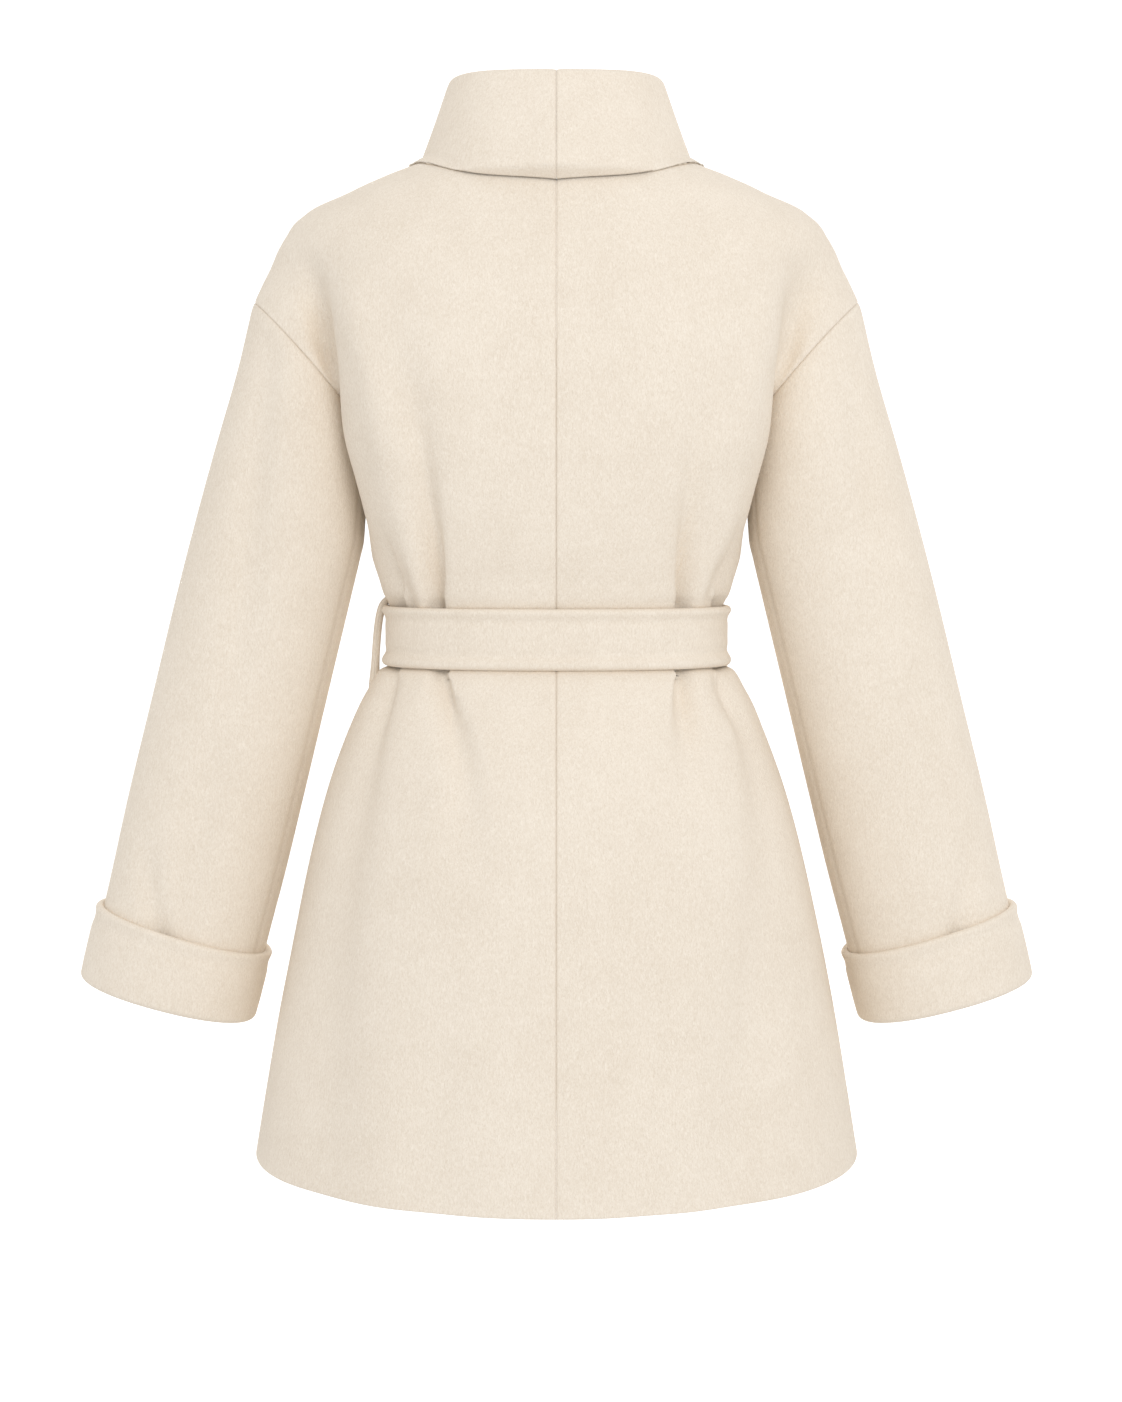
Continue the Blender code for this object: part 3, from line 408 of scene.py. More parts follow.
@dataclass
class Seams:
    """The lines along which the coat's pieces are sewn, on its left half."""

    form: CoatForm
    row_heights: tuple[float, ...] = (LEVEL.hem, -748, -680, -610, -548, -500, -466, -440, -424, -413, -405.5,
                                      -382, -357.5, -351, -340, -320, -300, -278, -255, -235, -221)
    armhole_steps: int = 10
    neck_steps: int = 7
    neck_half_width: float = 96.0
    neck_back: float = 71.0
    neck_side_y: float = -2.0
    neck_side_z: float = -5.5
    shoulder_arch: float = 30.0
    row_points: int = 161
    roll: Table = rows_of(
        along=[0.0, 0.14, 0.28, 0.42, 0.58, 0.76, 0.89, 1.0],
        x=[96, 94, 81, 58, 28, -11, -43, -75],
        z=[-5.5, -28, -58, -98, -142, -203, -252, LEVEL.break_of_lapel],
    )

    def __post_init__(self) -> None:
        """Count the rows."""
        self.break_row = self.row_heights.index(LEVEL.break_of_lapel)
        self.rows = len(self.row_heights) + self.armhole_steps + 1

    def armhole(self, side: int) -> Array:
        """The armhole seam from the underarm to its top, over the back (1) or the front (-1)."""
        form = self.form
        middle = (form.armhole_top + form.underarm) / 2
        half = (form.armhole_top - form.underarm) / 2
        across = unit(half)
        to_neck = np.array([-across[2], 0, across[0]])
        angle = np.linspace(math.pi, 0, 181)[:, None]
        deep = np.sin(angle) * np.array([0, side * form.armhole_half_depth, 0])
        path = middle + np.cos(angle) * half + deep + form.armhole_bow * np.sin(angle) ** 2 * to_neck
        return form.settle(form.gap, path, rounds=4)

    def neck(self) -> Array:
        """The back neck seam, from the centre back to the shoulder."""
        angle = np.linspace(0, math.pi / 2, 61)
        share = angle / (math.pi / 2)
        path = np.stack([self.neck_half_width * np.sin(angle),
                         self.neck_side_y + (self.neck_back - self.neck_side_y) * np.cos(angle),
                         LEVEL.nape + (self.neck_side_z - LEVEL.nape) * share], axis=1)
        path[1:] = self.form.settle(self.form.gap, path[1:], climb=0, rounds=4)
        return path

    def roll_line(self, field: Field) -> Array:
        """The seam under the lapel, from the shoulder down to the break."""
        form = self.form
        share = np.linspace(0, 1, 121)
        x, z = (curve(self.roll["along"], self.roll[k])(share) for k in "xz")
        n = form.squareness(z)
        y = -form.front(z) * np.maximum(1 - (np.abs(x) / form.half_width(z)) ** n, 0) ** (1 / n)
        path = form.settle(field, np.stack([x, y, z], axis=1), climb=0, rounds=6)
        path[0] = self.neck()[-1]
        return path

    def shoulder(self) -> Array:
        """The shoulder seam, over the ridge of the shoulder from the neck to the armhole's top."""
        start, end = self.neck()[-1], self.armhole(1)[-1]
        share = np.linspace(0, 1, 81)[:, None]
        path = start + (end - start) * share + np.array([0, 0, self.shoulder_arch]) * share * (1 - share)
        for _ in range(10):
            g = self.form.slope(self.form.gap, path) * [1, 0, 1]
            path = path - self.form.gap(path)[:, None] * g / (g * g).sum(-1, keepdims=True)
        path[0], path[-1] = start, end
        return path

    def outer_edge(self, panel: Panel, rows: object) -> Array:
        """A panel's side seam and armhole.

        Args:
            panel: back or front.
            rows: which rows, counted from the hem; the one past the table is the underarm.

        Returns:
            A point for each row.
        """
        form = self.form
        rows = np.asarray(rows, float)
        corner = len(self.row_heights)
        z = np.interp(rows, np.arange(corner + 1), [*self.row_heights, LEVEL.armpit])
        side = np.stack([form.half_width(z) - form.side_dent(z), np.full_like(z, form.dent_y), z], axis=1)
        hole = along_path(self.armhole(panel.value), np.clip((rows - corner) / self.armhole_steps, 0, 1))
        return np.where((rows < corner)[:, None], side, hole)

    def inner_edge(self, panel: Panel, field: Field, rows: object) -> Array:
        """A panel's centre line and neck seam, or its front edge and roll line.

        Args:
            panel: back or front.
            field: the form that the panel lies on.
            rows: which rows, counted from the hem.

        Returns:
            A point for each row.
        """
        form = self.form
        rows = np.asarray(rows, float)
        if panel is Panel.BACK:
            corner = self.rows - 1 - self.neck_steps
            steps = corner - (len(self.row_heights) - 1)
            climb = np.linspace(self.row_heights[-1], LEVEL.nape, steps + 1)[1:]
            z = np.interp(rows, np.arange(corner + 1), [*self.row_heights, *climb])
            low = np.stack([0 * z, form.back(z), z], axis=1)
            high = along_path(self.neck(), np.clip((rows - corner) / self.neck_steps, 0, 1))
        else:
            corner = self.break_row
            z = np.interp(rows, np.arange(corner + 1), self.row_heights[:corner + 1])
            low = form.settle(field, np.stack([0 * z - form.overlap, -form.front(z), z], axis=1), climb=0)
            share = np.clip((rows - corner) / (self.rows - 1 - corner), 0, 1)
            high = along_path(self.roll_line(field)[::-1], share)
        return np.where((rows < corner)[:, None], low, high)

    def hem(self, panel: Panel, field: Field) -> Array:
        """The hem, from the centre back or the front edge round to the side seam."""
        form = self.form
        back = panel is Panel.BACK
        start = 0.0 if back else -form.overlap
        depth = form.back(LEVEL.hem) if back else -form.front(LEVEL.hem)
        dip = LEVEL.hem_dip if back else LEVEL.hem_dip / 2
        width = form.half_width(LEVEL.hem)
        angle = np.linspace(math.atan2(start / width, 1), math.pi / 2, self.row_points)
        row = np.stack([width * np.sin(angle), depth * np.cos(angle), LEVEL.hem - dip * np.cos(angle)],
                       axis=1)
        return form.settle(field, row, climb=0)

    def lay(self, panel: Panel, field: Field) -> list[Array]:
        """Coarse rows of a panel, from the hem to the shoulder seam."""
        form = self.form
        index = np.arange(self.rows)
        inner, outer = self.inner_edge(panel, field, index), self.outer_edge(panel, index)
        hem = self.hem(panel, field)
        inner[0], outer[0] = hem[0], hem[-1]
        shares = np.linspace(0, 1, len(hem))[:, None]
        armpit = len(self.row_heights)
        rows = [hem]
        for i in range(1, armpit):
            guess = (rows[-1] + (1 - shares) * (inner[i] - rows[-1][0])
                     + shares * (outer[i] - rows[-1][-1]))
            guess[:, 2] = (inner[i] + shares * (outer[i] - inner[i]))[:, 2]
            guess[1:-1] = form.settle(field, guess[1:-1], climb=0, rounds=5)
            rows.append(guess)
        low, high = rows[-1], along_path(self.shoulder(), shares[:, 0])
        steps = self.rows - armpit
        for i in range(1, steps + 1):
            v = i / steps
            ends = (1 - shares) * inner[armpit - 1 + i] + shares * outer[armpit - 1 + i]
            corners = ((1 - shares) * ((1 - v) * low[0] + v * high[0])
                       + shares * ((1 - v) * low[-1] + v * high[-1]))
            guess = ends + (1 - v) * low + v * high - corners
            if i < steps:
                guess[1:-1] = form.settle(field, guess[1:-1], climb=ease(0, 0.5, v), rounds=5)
            rows.append(guess)
        return rows


# ---------------------------------------------------------------- pleats


@dataclass(frozen=True)
class Pleat:
    """A fold that the belt pinches: the cloth drops off a sharp fold edge and comes up again slowly.

    Heights and depths are in millimetres. edge and width are in shares of the quarter of the body, and
    shift is how much further round the fold lies on the wearer's right.
    """

    height: tuple[float, ...]
    edge: tuple[float, ...]
    depth: tuple[float, ...]
    width: tuple[float, ...]
    crisp: tuple[float, ...]
    shift: float
    panel: Panel = Panel.BACK

    def pressed(self, around: Array, z: Array, half: Half) -> Array:
        """How deep the fold presses the cloth in.

        Args:
            around: how far round its quarter each point lies.
            z: the points' heights.
            half: which half of the coat they are on.

        Returns:
            The depth at each point.
        """
        low, high = min(self.height), max(self.height)
        at = np.clip(z, low, high)
        offset = around - curve(self.height, self.edge)(at) - (self.shift if half is Half.RIGHT else 0.0)
        depth = np.maximum(curve(self.height, self.depth)(at), 0) * (z > low) * (z < high)
        crisp, width = curve(self.height, self.crisp)(at), curve(self.height, self.width)(at)
        drop = ease(-0.4 * crisp, 0.6 * crisp, offset)
        return depth * drop * (1 - ease(0.6 * crisp, 0.6 * crisp + width, offset))


PLEATS: tuple[Pleat, ...] = (
    Pleat(height=(-382, -355, -330, -310, -291, -270, -245),
          edge=(0.45, 0.428, 0.388, 0.374, 0.366, 0.362, 0.358), depth=(8.0, 8.4, 8.0, 6.6, 4.4, 2.2, 0),
          width=(0.08, 0.09, 0.13, 0.17, 0.20, 0.22, 0.22),
          crisp=(0.016, 0.016, 0.02, 0.028, 0.05, 0.08, 0.10), shift=0.035),
    Pleat(height=(-382, -355, -339, -322, -308, -285), edge=(0.69, 0.658, 0.622, 0.608, 0.60, 0.60),
          depth=(5.5, 5.5, 4.8, 3.6, 2.2, 0), width=(0.20, 0.20, 0.22, 0.25, 0.28, 0.30),
          crisp=(0.02, 0.02, 0.025, 0.04, 0.06, 0.08), shift=0.05),
    Pleat(height=(-520, -480, -448, -428, -415, -404, -382),
          edge=(0.25, 0.27, 0.30, 0.339, 0.366, 0.412, 0.43),
          depth=(0, 1.6, 3.6, 5.4, 6.6, 6.4, 6.0), width=(0.24, 0.22, 0.18, 0.13, 0.10, 0.07, 0.07),
          crisp=(0.09, 0.07, 0.05, 0.035, 0.03, 0.028, 0.028), shift=0.05),
    Pleat(height=(-500, -470, -444, -428, -414, -404, -382), edge=(0.56, 0.57, 0.59, 0.612, 0.64, 0.70, 0.72),
          depth=(0, 0.8, 1.8, 2.4, 2.6, 2.4, 2.2), width=(0.30, 0.28, 0.24, 0.20, 0.15, 0.11, 0.11),
          crisp=(0.08, 0.06, 0.045, 0.035, 0.03, 0.028, 0.028), shift=0.03),
    Pleat(height=(-382, -355, -330, -300, -270, -240), edge=(0.50, 0.48, 0.47, 0.48, 0.50, 0.52),
          depth=(8.0, 7.4, 5.6, 3.2, 1.2, 0), width=(0.10, 0.11, 0.13, 0.15, 0.17, 0.18),
          crisp=(0.02, 0.02, 0.03, 0.05, 0.07, 0.08), shift=0.0, panel=Panel.FRONT),
    Pleat(height=(-510, -470, -440, -415, -404, -382), edge=(0.42, 0.43, 0.45, 0.47, 0.49, 0.50),
          depth=(0, 2.0, 4.6, 7.0, 8.0, 8.0), width=(0.18, 0.17, 0.15, 0.12, 0.10, 0.10),
          crisp=(0.08, 0.06, 0.04, 0.025, 0.02, 0.02), shift=0.0, panel=Panel.FRONT),
    Pleat(height=(-382, -355, -330, -300, -280), edge=(0.80, 0.79, 0.78, 0.78, 0.78),
          depth=(4.0, 3.6, 2.4, 0.8, 0), width=(0.12, 0.12, 0.13, 0.14, 0.15),
          crisp=(0.03, 0.03, 0.04, 0.06, 0.08), shift=0.0, panel=Panel.FRONT),
    Pleat(height=(-500, -465, -435, -412, -382), edge=(0.75, 0.76, 0.77, 0.78, 0.80),
          depth=(0, 1.6, 3.4, 4.6, 4.6), width=(0.18, 0.17, 0.15, 0.13, 0.12),
          crisp=(0.08, 0.06, 0.04, 0.03, 0.03), shift=0.0, panel=Panel.FRONT),
)


@dataclass(frozen=True)
class Fold:
    """A soft valley that runs down the cloth, where the cloth hangs from the shoulder or the belt.

    Heights, depths, widths and the distance from the centre, across, are in millimetres. A depth below 0
    is a ridge.
    """

    height: tuple[float, ...]
    across: tuple[float, ...]
    depth: tuple[float, ...]
    width: tuple[float, ...]
    half: Half
    fade: float = 12.0

    def pressed(self, net: Array) -> Array:
        """How deep the fold presses in at each point of a net, on its own side alone."""
        low, high = min(self.height), max(self.height)
        z = np.clip(net[..., 2], low, high)
        offset = net[..., 0] - curve(self.height, self.across)(z)
        depth = curve(self.height, self.depth)(z)
        beyond = np.maximum(low - net[..., 2], 0) + np.maximum(net[..., 2] - high, 0)
        return depth * hill(beyond, 0, self.fade) * hill(offset, 0, curve(self.height, self.width)(z))


BACK_FOLDS: tuple[Fold, ...] = (
    Fold(height=(-78, -112, -140, -165, -182, -204), across=(196, 188, 184, 180, 178, 176),
         depth=(0, 7.0, 12.0, 12.0, 9.0, 4.0), width=(11, 9, 8, 7, 6.5, 6), half=Half.LEFT),
    Fold(height=(-78, -112, -140, -165, -182, -204), across=(195, 189, 186, 182, 179, 176),
         depth=(0, 5.0, 8.0, 9.0, 8.0, 4.0), width=(14, 12, 10, 8, 7, 6), half=Half.RIGHT),
    Fold(height=(-90, -110, -147, -184, -222, -259, -297, -328, -350),
         across=(162, 158, 151, 141, 134, 129, 117, 108, 105),
         depth=(0, -2.4, -4.0, -4.6, -4.6, -4.2, -4.2, -3.6, -2.0), width=(14, 14, 13, 13, 13, 12, 11, 9, 7),
         half=Half.LEFT),
    Fold(height=(-90, -110, -147, -184, -222, -259, -297, -328, -350),
         across=(166, 164, 160, 152, 146, 140, 129, 119, 114),
         depth=(0, -2.0, -3.4, -3.8, -3.8, -3.6, -3.4, -3.0, -1.6), width=(14, 14, 12, 12, 12, 11, 11, 9, 7),
         half=Half.RIGHT),
    Fold(height=(-95, -167, -206, -251, -313, -352), across=(125, 116, 108, 102, 96, 92),
         depth=(0, 3.0, 6.0, 8.0, 8.4, 5.0), width=(19, 17, 14, 11, 8.5, 6.5), half=Half.LEFT),
    Fold(height=(-110, -167, -215, -251, -298, -352), across=(117, 115, 111, 105, 100, 98),
         depth=(0, 2.4, 5.0, 6.4, 7.2, 5.0), width=(20, 18, 15, 12, 9, 6.5), half=Half.RIGHT),
    Fold(height=(-290, -310, -337, -354), across=(136, 130, 123, 114), depth=(0, 1.6, 5.0, 4.4),
         width=(10, 9, 8, 7), half=Half.LEFT),
    Fold(height=(-290, -310, -331, -349), across=(142, 137, 129, 122), depth=(0, 1.6, 5.0, 4.6),
         width=(10, 9, 8, 7), half=Half.RIGHT),
    Fold(height=(-404, -418, -429, -454, -486, -514, -570), across=(93, 90, 85, 76, 70, 69, 70),
         depth=(2.0, 6.0, 8.0, 8.4, 6.6, 4.6, 0), width=(6, 7, 8, 10, 12, 15, 22), half=Half.LEFT),
    Fold(height=(-404, -416, -429, -451, -486, -559, -652, -765, -805),
         across=(128, 131, 135, 142, 150, 165, 180, 182, 182),
         depth=(2.0, 6.0, 8.0, 8.4, 8.0, 8.0, 9.0, 6.4, 4.0), width=(6, 7, 8, 10, 13, 19, 26, 30, 32),
         half=Half.LEFT),
    Fold(height=(-404, -416, -429, -454, -473, -510), across=(101, 101, 101, 102, 105, 108),
         depth=(2.0, 6.6, 8.4, 7.0, 4.4, 0), width=(6, 6.5, 7.5, 9, 11, 15), half=Half.RIGHT),
    Fold(height=(-404, -418, -429, -454, -486, -533, -585, -668, -749, -805),
         across=(126, 130, 135, 150, 159, 163, 164, 153, 140, 136),
         depth=(2.0, 6.6, 8.0, 7.6, 7.0, 6.0, 6.6, 7.6, 7.0, 5.0),
         width=(6, 6.5, 8, 10, 13, 17, 22, 26, 30, 34),
         half=Half.RIGHT),
    Fold(height=(-600, -660, -730, -805), across=(62, 66, 70, 72), depth=(0, 2.6, 3.6, 3.6),
         width=(22, 26, 28, 30), half=Half.RIGHT),
    Fold(height=(-620, -690, -760, -805), across=(84, 88, 92, 94), depth=(0, 2.4, 3.4, 3.4),
         width=(24, 26, 28, 30), half=Half.LEFT),
)
SLEEVE_FOLDS: tuple[Fold, ...] = (
    Fold(height=(-135, -180, -265, -362, -450), across=(226, 230, 238, 247, 258),
         depth=(1.5, 5.0, 6.5, 5.0, 0), width=(14, 15, 16, 17, 20), half=Half.LEFT),
    Fold(height=(-530, -560, -590, -612, -640), across=(322, 325, 322, 316, 312),
         depth=(0, 3.6, 5.4, 5.0, 2.0), width=(12, 11, 10, 9, 9), half=Half.LEFT),
    Fold(height=(-440, -500, -560, -620), across=(262, 276, 290, 302), depth=(0, 2.8, 3.4, 2.0),
         width=(18, 18, 18, 18), half=Half.LEFT),
    Fold(height=(-150, -200, -265, -340, -430), across=(232, 236, 240, 246, 256),
         depth=(1.0, 3.6, 4.8, 3.4, 0), width=(14, 15, 16, 18, 20), half=Half.RIGHT),
    Fold(height=(-530, -560, -588, -612, -640), across=(326, 327, 324, 319, 315),
         depth=(0, 3.4, 5.0, 4.8, 2.0), width=(12, 11, 10, 9, 9), half=Half.RIGHT),
    Fold(height=(-380, -450, -520, -600), across=(276, 290, 306, 322), depth=(0, 2.8, 2.8, 0),
         width=(16, 17, 18, 20), half=Half.RIGHT),
)


# ---------------------------------------------------------------- walls of cloth


@dataclass
class Wall:
    """A closed wall of cloth between two nets of points, in millimetres.

    ring joins the last row to the first, and tube joins the last column to the first.
    """

    name: str
    outer: Array
    inner: Array
    ring: bool = False
    tube: bool = False
    # painted shade along the seams, from 0 to 1 at each point; none if left out
    painted_seam_shade: Array | None = None
    inner_sheet: tuple[float, float] = (0.0, 2.0)

    def build(self, half: Half = Half.LEFT) -> bpy.types.Object:
        """Make the wall's mesh.

        Args:
            half: the half of the coat that it is for; the right one is mirrored.

        Returns:
            The new object, at the origin.
        """
        flip = np.array([half.value, 1, 1])
        outer, inner = self.outer * MM * flip, self.inner * MM * flip
        rows, columns = outer.shape[:2]
        points = np.concatenate([outer.reshape(-1, 3), inner.reshape(-1, 3)])
        quads = self._quads(rows, columns)
        corner = points[quads]
        normal = np.cross(corner[:, 2] - corner[:, 0], corner[:, 3] - corner[:, 1])
        if (corner.mean(axis=1) * normal).sum() < 0:
            quads = quads[:, ::-1]
        mesh = bpy.data.meshes.new(self.name)
        mesh.from_pydata(points.tolist(), [], quads.tolist())
        self._lay_flat(mesh, quads, outer)
        # the painted seam shade goes on both faces as a point attribute, which the material darkens the
        # colour by
        painted_seam_shade = np.zeros((rows, columns)) if self.painted_seam_shade is None else self.painted_seam_shade
        layer = mesh.attributes.new("pressed", "FLOAT", "POINT")
        layer.data.foreach_set("value", np.tile(painted_seam_shade.reshape(-1), 2).astype(np.float32))
        made = bpy.data.objects.new(self.name, mesh)
        bpy.context.scene.collection.objects.link(made)
        mesh.shade_smooth()
        return made

    def _quads(self, rows: int, columns: int) -> Array:
        """The corner numbers of every face, all turned the same way."""
        r = np.arange(rows if self.ring else rows - 1)
        c = np.arange(columns if self.tube else columns - 1)
        r, c = np.meshgrid(r, c, indexing="ij")
        r, c = r.reshape(-1), c.reshape(-1)
        up, on = (r + 1) % rows, (c + 1) % columns
        side = rows * columns
        face = np.stack([r * columns + c, r * columns + on, up * columns + on, up * columns + c], axis=1)
        strips = [face, face[:, ::-1] + side]
        c = np.arange(columns if self.tube else columns - 1)
        on = (c + 1) % columns
        if not self.ring:
            strips.append(np.stack([on, c, c + side, on + side], axis=1))
            last = (rows - 1) * columns
            strips.append(np.stack([last + c, last + on, last + on + side, last + c + side], axis=1))
        r = np.arange(rows if self.ring else rows - 1)
        up = (r + 1) % rows
        if not self.tube:
            first, last = r * columns, r * columns + columns - 1
            up_first, up_last = up * columns, up * columns + columns - 1
            strips.append(np.stack([first, up_first, up_first + side, first + side], axis=1))
            strips.append(np.stack([up_last, last, last + side, up_last + side], axis=1))
        return np.concatenate(strips)

    def _lay_flat(self, mesh: bpy.types.Mesh, quads: Array, outer: Array) -> None:
        """Give the mesh a UV map in metres, along its rows and columns."""
        runs = edge_runs(outer)
        flat = np.stack([runs["first"], runs["low"]], axis=-1).reshape(-1, 2)
        flat = np.concatenate([flat, flat + self.inner_sheet])
        layer = mesh.uv_layers.new(name="cloth")
        layer.data.foreach_set("uv", flat[quads.reshape(-1)].reshape(-1).astype(np.float32))


def net_normals(net: Array, tube: bool = False, ring: bool = False) -> Array:
    """Unit normals of a net of points, turned one way.

    Args:
        net: the points, row by row.
        tube: whether the last column meets the first.
        ring: whether the last row meets the first.

    Returns:
        A normal for each point.
    """
    if tube:
        along = np.roll(net, -1, axis=1) - np.roll(net, 1, axis=1)
    else:
        along = np.gradient(net, axis=1)
    if ring:
        down = np.roll(net, -1, axis=0) - np.roll(net, 1, axis=0)
    else:
        down = np.gradient(net, axis=0)
    return unit(np.cross(along, down))


def edge_runs(net: Array) -> dict[str, Array]:
    """How far each point lies from each of the net's four edges, along its row or column."""
    across = np.zeros(net.shape[:2])
    across[:, 1:] = np.cumsum(np.linalg.norm(np.diff(net, axis=1), axis=-1), axis=1)
    down = np.zeros(net.shape[:2])
    down[1:] = np.cumsum(np.linalg.norm(np.diff(net, axis=0), axis=-1), axis=0)
    return {"first": across, "last": across[:, -1:] - across, "low": down, "high": down[-1:] - down}


def edge_dips(net: Array, edges: dict[str, Edge], thickness: float) -> tuple[Array, Array, Array]:
    """How far a wall's two faces fall back at its edges, and the painted shade along its sewn edges.

    Args:
        net: the outer face, row by row.
        edges: how each of "first", "last", "low" and "high" is finished.
        thickness: the wall's thickness.

    Returns:
        The outer face's dip, the inner face's dip, and the painted shade along sewn edges, from 0 to 1.
    """
    outer, inner, pressed = (np.zeros(net.shape[:2]) for _ in range(3))
    runs = edge_runs(net)
    for name, finish in edges.items():
        run = runs[name]
        if finish is Edge.TURNED:
            fall = rounded(run, TURNED_SHARE * thickness)
            outer, inner = np.maximum(outer, fall), np.maximum(inner, fall)
        elif finish is Edge.SEWN:
            outer = np.maximum(outer, SEAM.crease * hill(run, 0, SEAM.crease_width)
                               + SEAM.hollow * hill(run, 0, SEAM.hollow_width))
            inner = np.maximum(inner, SEAM.inside * hill(run, 0, SEAM.inside_width))
            # painted shade: how much the colour is darkened along a sewn edge, standing in for the shade in
            # its groove
            pressed = np.maximum(pressed, hill(run, 0, SEAM.pressed_width))
    return outer, inner, pressed


def two_faces(net: Array, normals: Array, half: object, fall: Array,
              proud: object = 0.0) -> tuple[Array, Array]:
    """The two faces of a wall.

    Args:
        net: the middle of the wall.
        normals: its outward normals.
        half: half of its thickness.
        fall: how far both faces fall back at its edges.
        proud: how far the outer face stands out.

    Returns:
        The outer and the inner face.
    """
    return net + (half - fall + proud)[..., None] * normals, net - (half - fall)[..., None] * normals


def trimmed(net: Array, edges: dict[str, Edge]) -> Array:
    """The net with its sewn rows and columns drawn in by half a seam."""
    net = net.copy()
    ends = {"low": (np.s_[0, :], np.s_[1, :]), "high": (np.s_[-1, :], np.s_[-2, :]),
            "first": (np.s_[:, 0], np.s_[:, 1]), "last": (np.s_[:, -1], np.s_[:, -2])}
    for name, (edge, inside) in ends.items():
        if edges.get(name) is Edge.SEWN:
            gap = CLOTH.seam / 2 * SEAM.drawn_in
            net[edge] += gap * unit(net[inside] - net[edge])
    return net


def flat_size(net: Array) -> tuple[float, float]:
    """The longest row and the longest column of a net, in metres, with a little for turnings."""
    runs = edge_runs(net)
    return float(runs["first"].max() * MM * 1.02), float(runs["low"].max() * MM * 1.02)


# ---------------------------------------------------------------- finishes


@dataclass
class NodeTree:
    """A small helper that adds and joins the shader nodes of a material's or a group's tree."""

    tree: bpy.types.NodeTree

    def add(self, kind: str, **settings: object) -> bpy.types.Node:
        """Add a node.

        Args:
            kind: the node's type name.
            settings: attributes to set on it.

        Returns:
            The node.
        """
        node = self.tree.nodes.new(kind)
        for name, value in settings.items():
            setattr(node, name, value)
        return node

    def join(self, start: bpy.types.NodeSocket, end: bpy.types.NodeSocket) -> None:
        """Link one socket to another."""
        self.tree.links.new(start, end)

    def math(self, operation: str, a: object, b: object = None, clamp: bool = False) -> bpy.types.NodeSocket:
        """Add a Math node.

        Args:
            operation: its operation's name.
            a: its first input, a socket or a number.
            b: its second one.
            clamp: whether the result is kept between 0 and 1.

        Returns:
            Its output.
        """
        node = self.add("ShaderNodeMath", operation=operation, use_clamp=clamp)
        for socket, value in zip(node.inputs, (a, b)):
            if isinstance(value, bpy.types.NodeSocket):
                self.join(value, socket)
            elif value is not None:
                socket.default_value = value
        return node.outputs[0]

    def noise(self, vector: bpy.types.NodeSocket, scale: float, detail: float = 2.0,
              roughness: float = 0.5, distortion: float = 0.0) -> bpy.types.NodeSocket:
        """Add a noise texture.

        Args:
            vector: where it is read.
            scale: its scale, in features a metre.
            detail: its octaves.
            roughness: how strong the fine octaves are.
            distortion: how much it is bent.

        Returns:
            Its value.
        """
        node = self.add("ShaderNodeTexNoise")
        node.inputs["Scale"].default_value = scale
        node.inputs["Detail"].default_value = detail
        node.inputs["Roughness"].default_value = roughness
        node.inputs["Distortion"].default_value = distortion
        self.join(vector, node.inputs["Vector"])
        return node.outputs["Fac"]

    def turned(self, vector: bpy.types.NodeSocket, angles: tuple[float, float, float],
               scale: tuple[float, float, float]) -> bpy.types.NodeSocket:
        """Turn and stretch coordinates.

        Args:
            vector: the coordinates.
            angles: the turn about each axis, in degrees.
            scale: the stretch along each axis.

        Returns:
            The new coordinates.
        """
        node = self.add("ShaderNodeMapping")
        node.inputs["Rotation"].default_value = tuple(math.radians(a) for a in angles)
        node.inputs["Scale"].default_value = scale
        self.join(vector, node.inputs["Vector"])
        return node.outputs["Vector"]

    def mix(self, low: object, high: Colour, share: bpy.types.NodeSocket) -> bpy.types.NodeSocket:
        """Mix two colours.

        Args:
            low: the first, a socket or a colour.
            high: the second.
            share: how much of the second there is.

        Returns:
            The mixed colour.
        """
        node = self.add("ShaderNodeMix", data_type="RGBA")
        if isinstance(low, bpy.types.NodeSocket):
            self.join(low, node.inputs["A"])
        else:
            node.inputs["A"].default_value = (*low, 1.0)
        node.inputs["B"].default_value = (*high, 1.0)
        self.join(share, node.inputs["Factor"])
        return node.outputs["Result"]

    def bump(self, height: bpy.types.NodeSocket, strength: float, depth_mm: float) -> bpy.types.NodeSocket:
        """Add a bump.

        Args:
            height: its height.
            strength: how strong it is.
            depth_mm: how deep a height of 1 is.

        Returns:
            The bumped normal.
        """
        node = self.add("ShaderNodeBump")
        node.inputs["Strength"].default_value = strength
        node.inputs["Distance"].default_value = depth_mm * MM
        self.join(height, node.inputs["Height"])
        return node.outputs["Normal"]


@dataclass(frozen=True)
class Wisps:
    """One layer of the nap's short strokes: how it is turned, in degrees, how long its strokes are, and how
    fine it is.
    """

    turn: tuple[float, float, float]
    stretch: float
    scale: float
    roughness: float


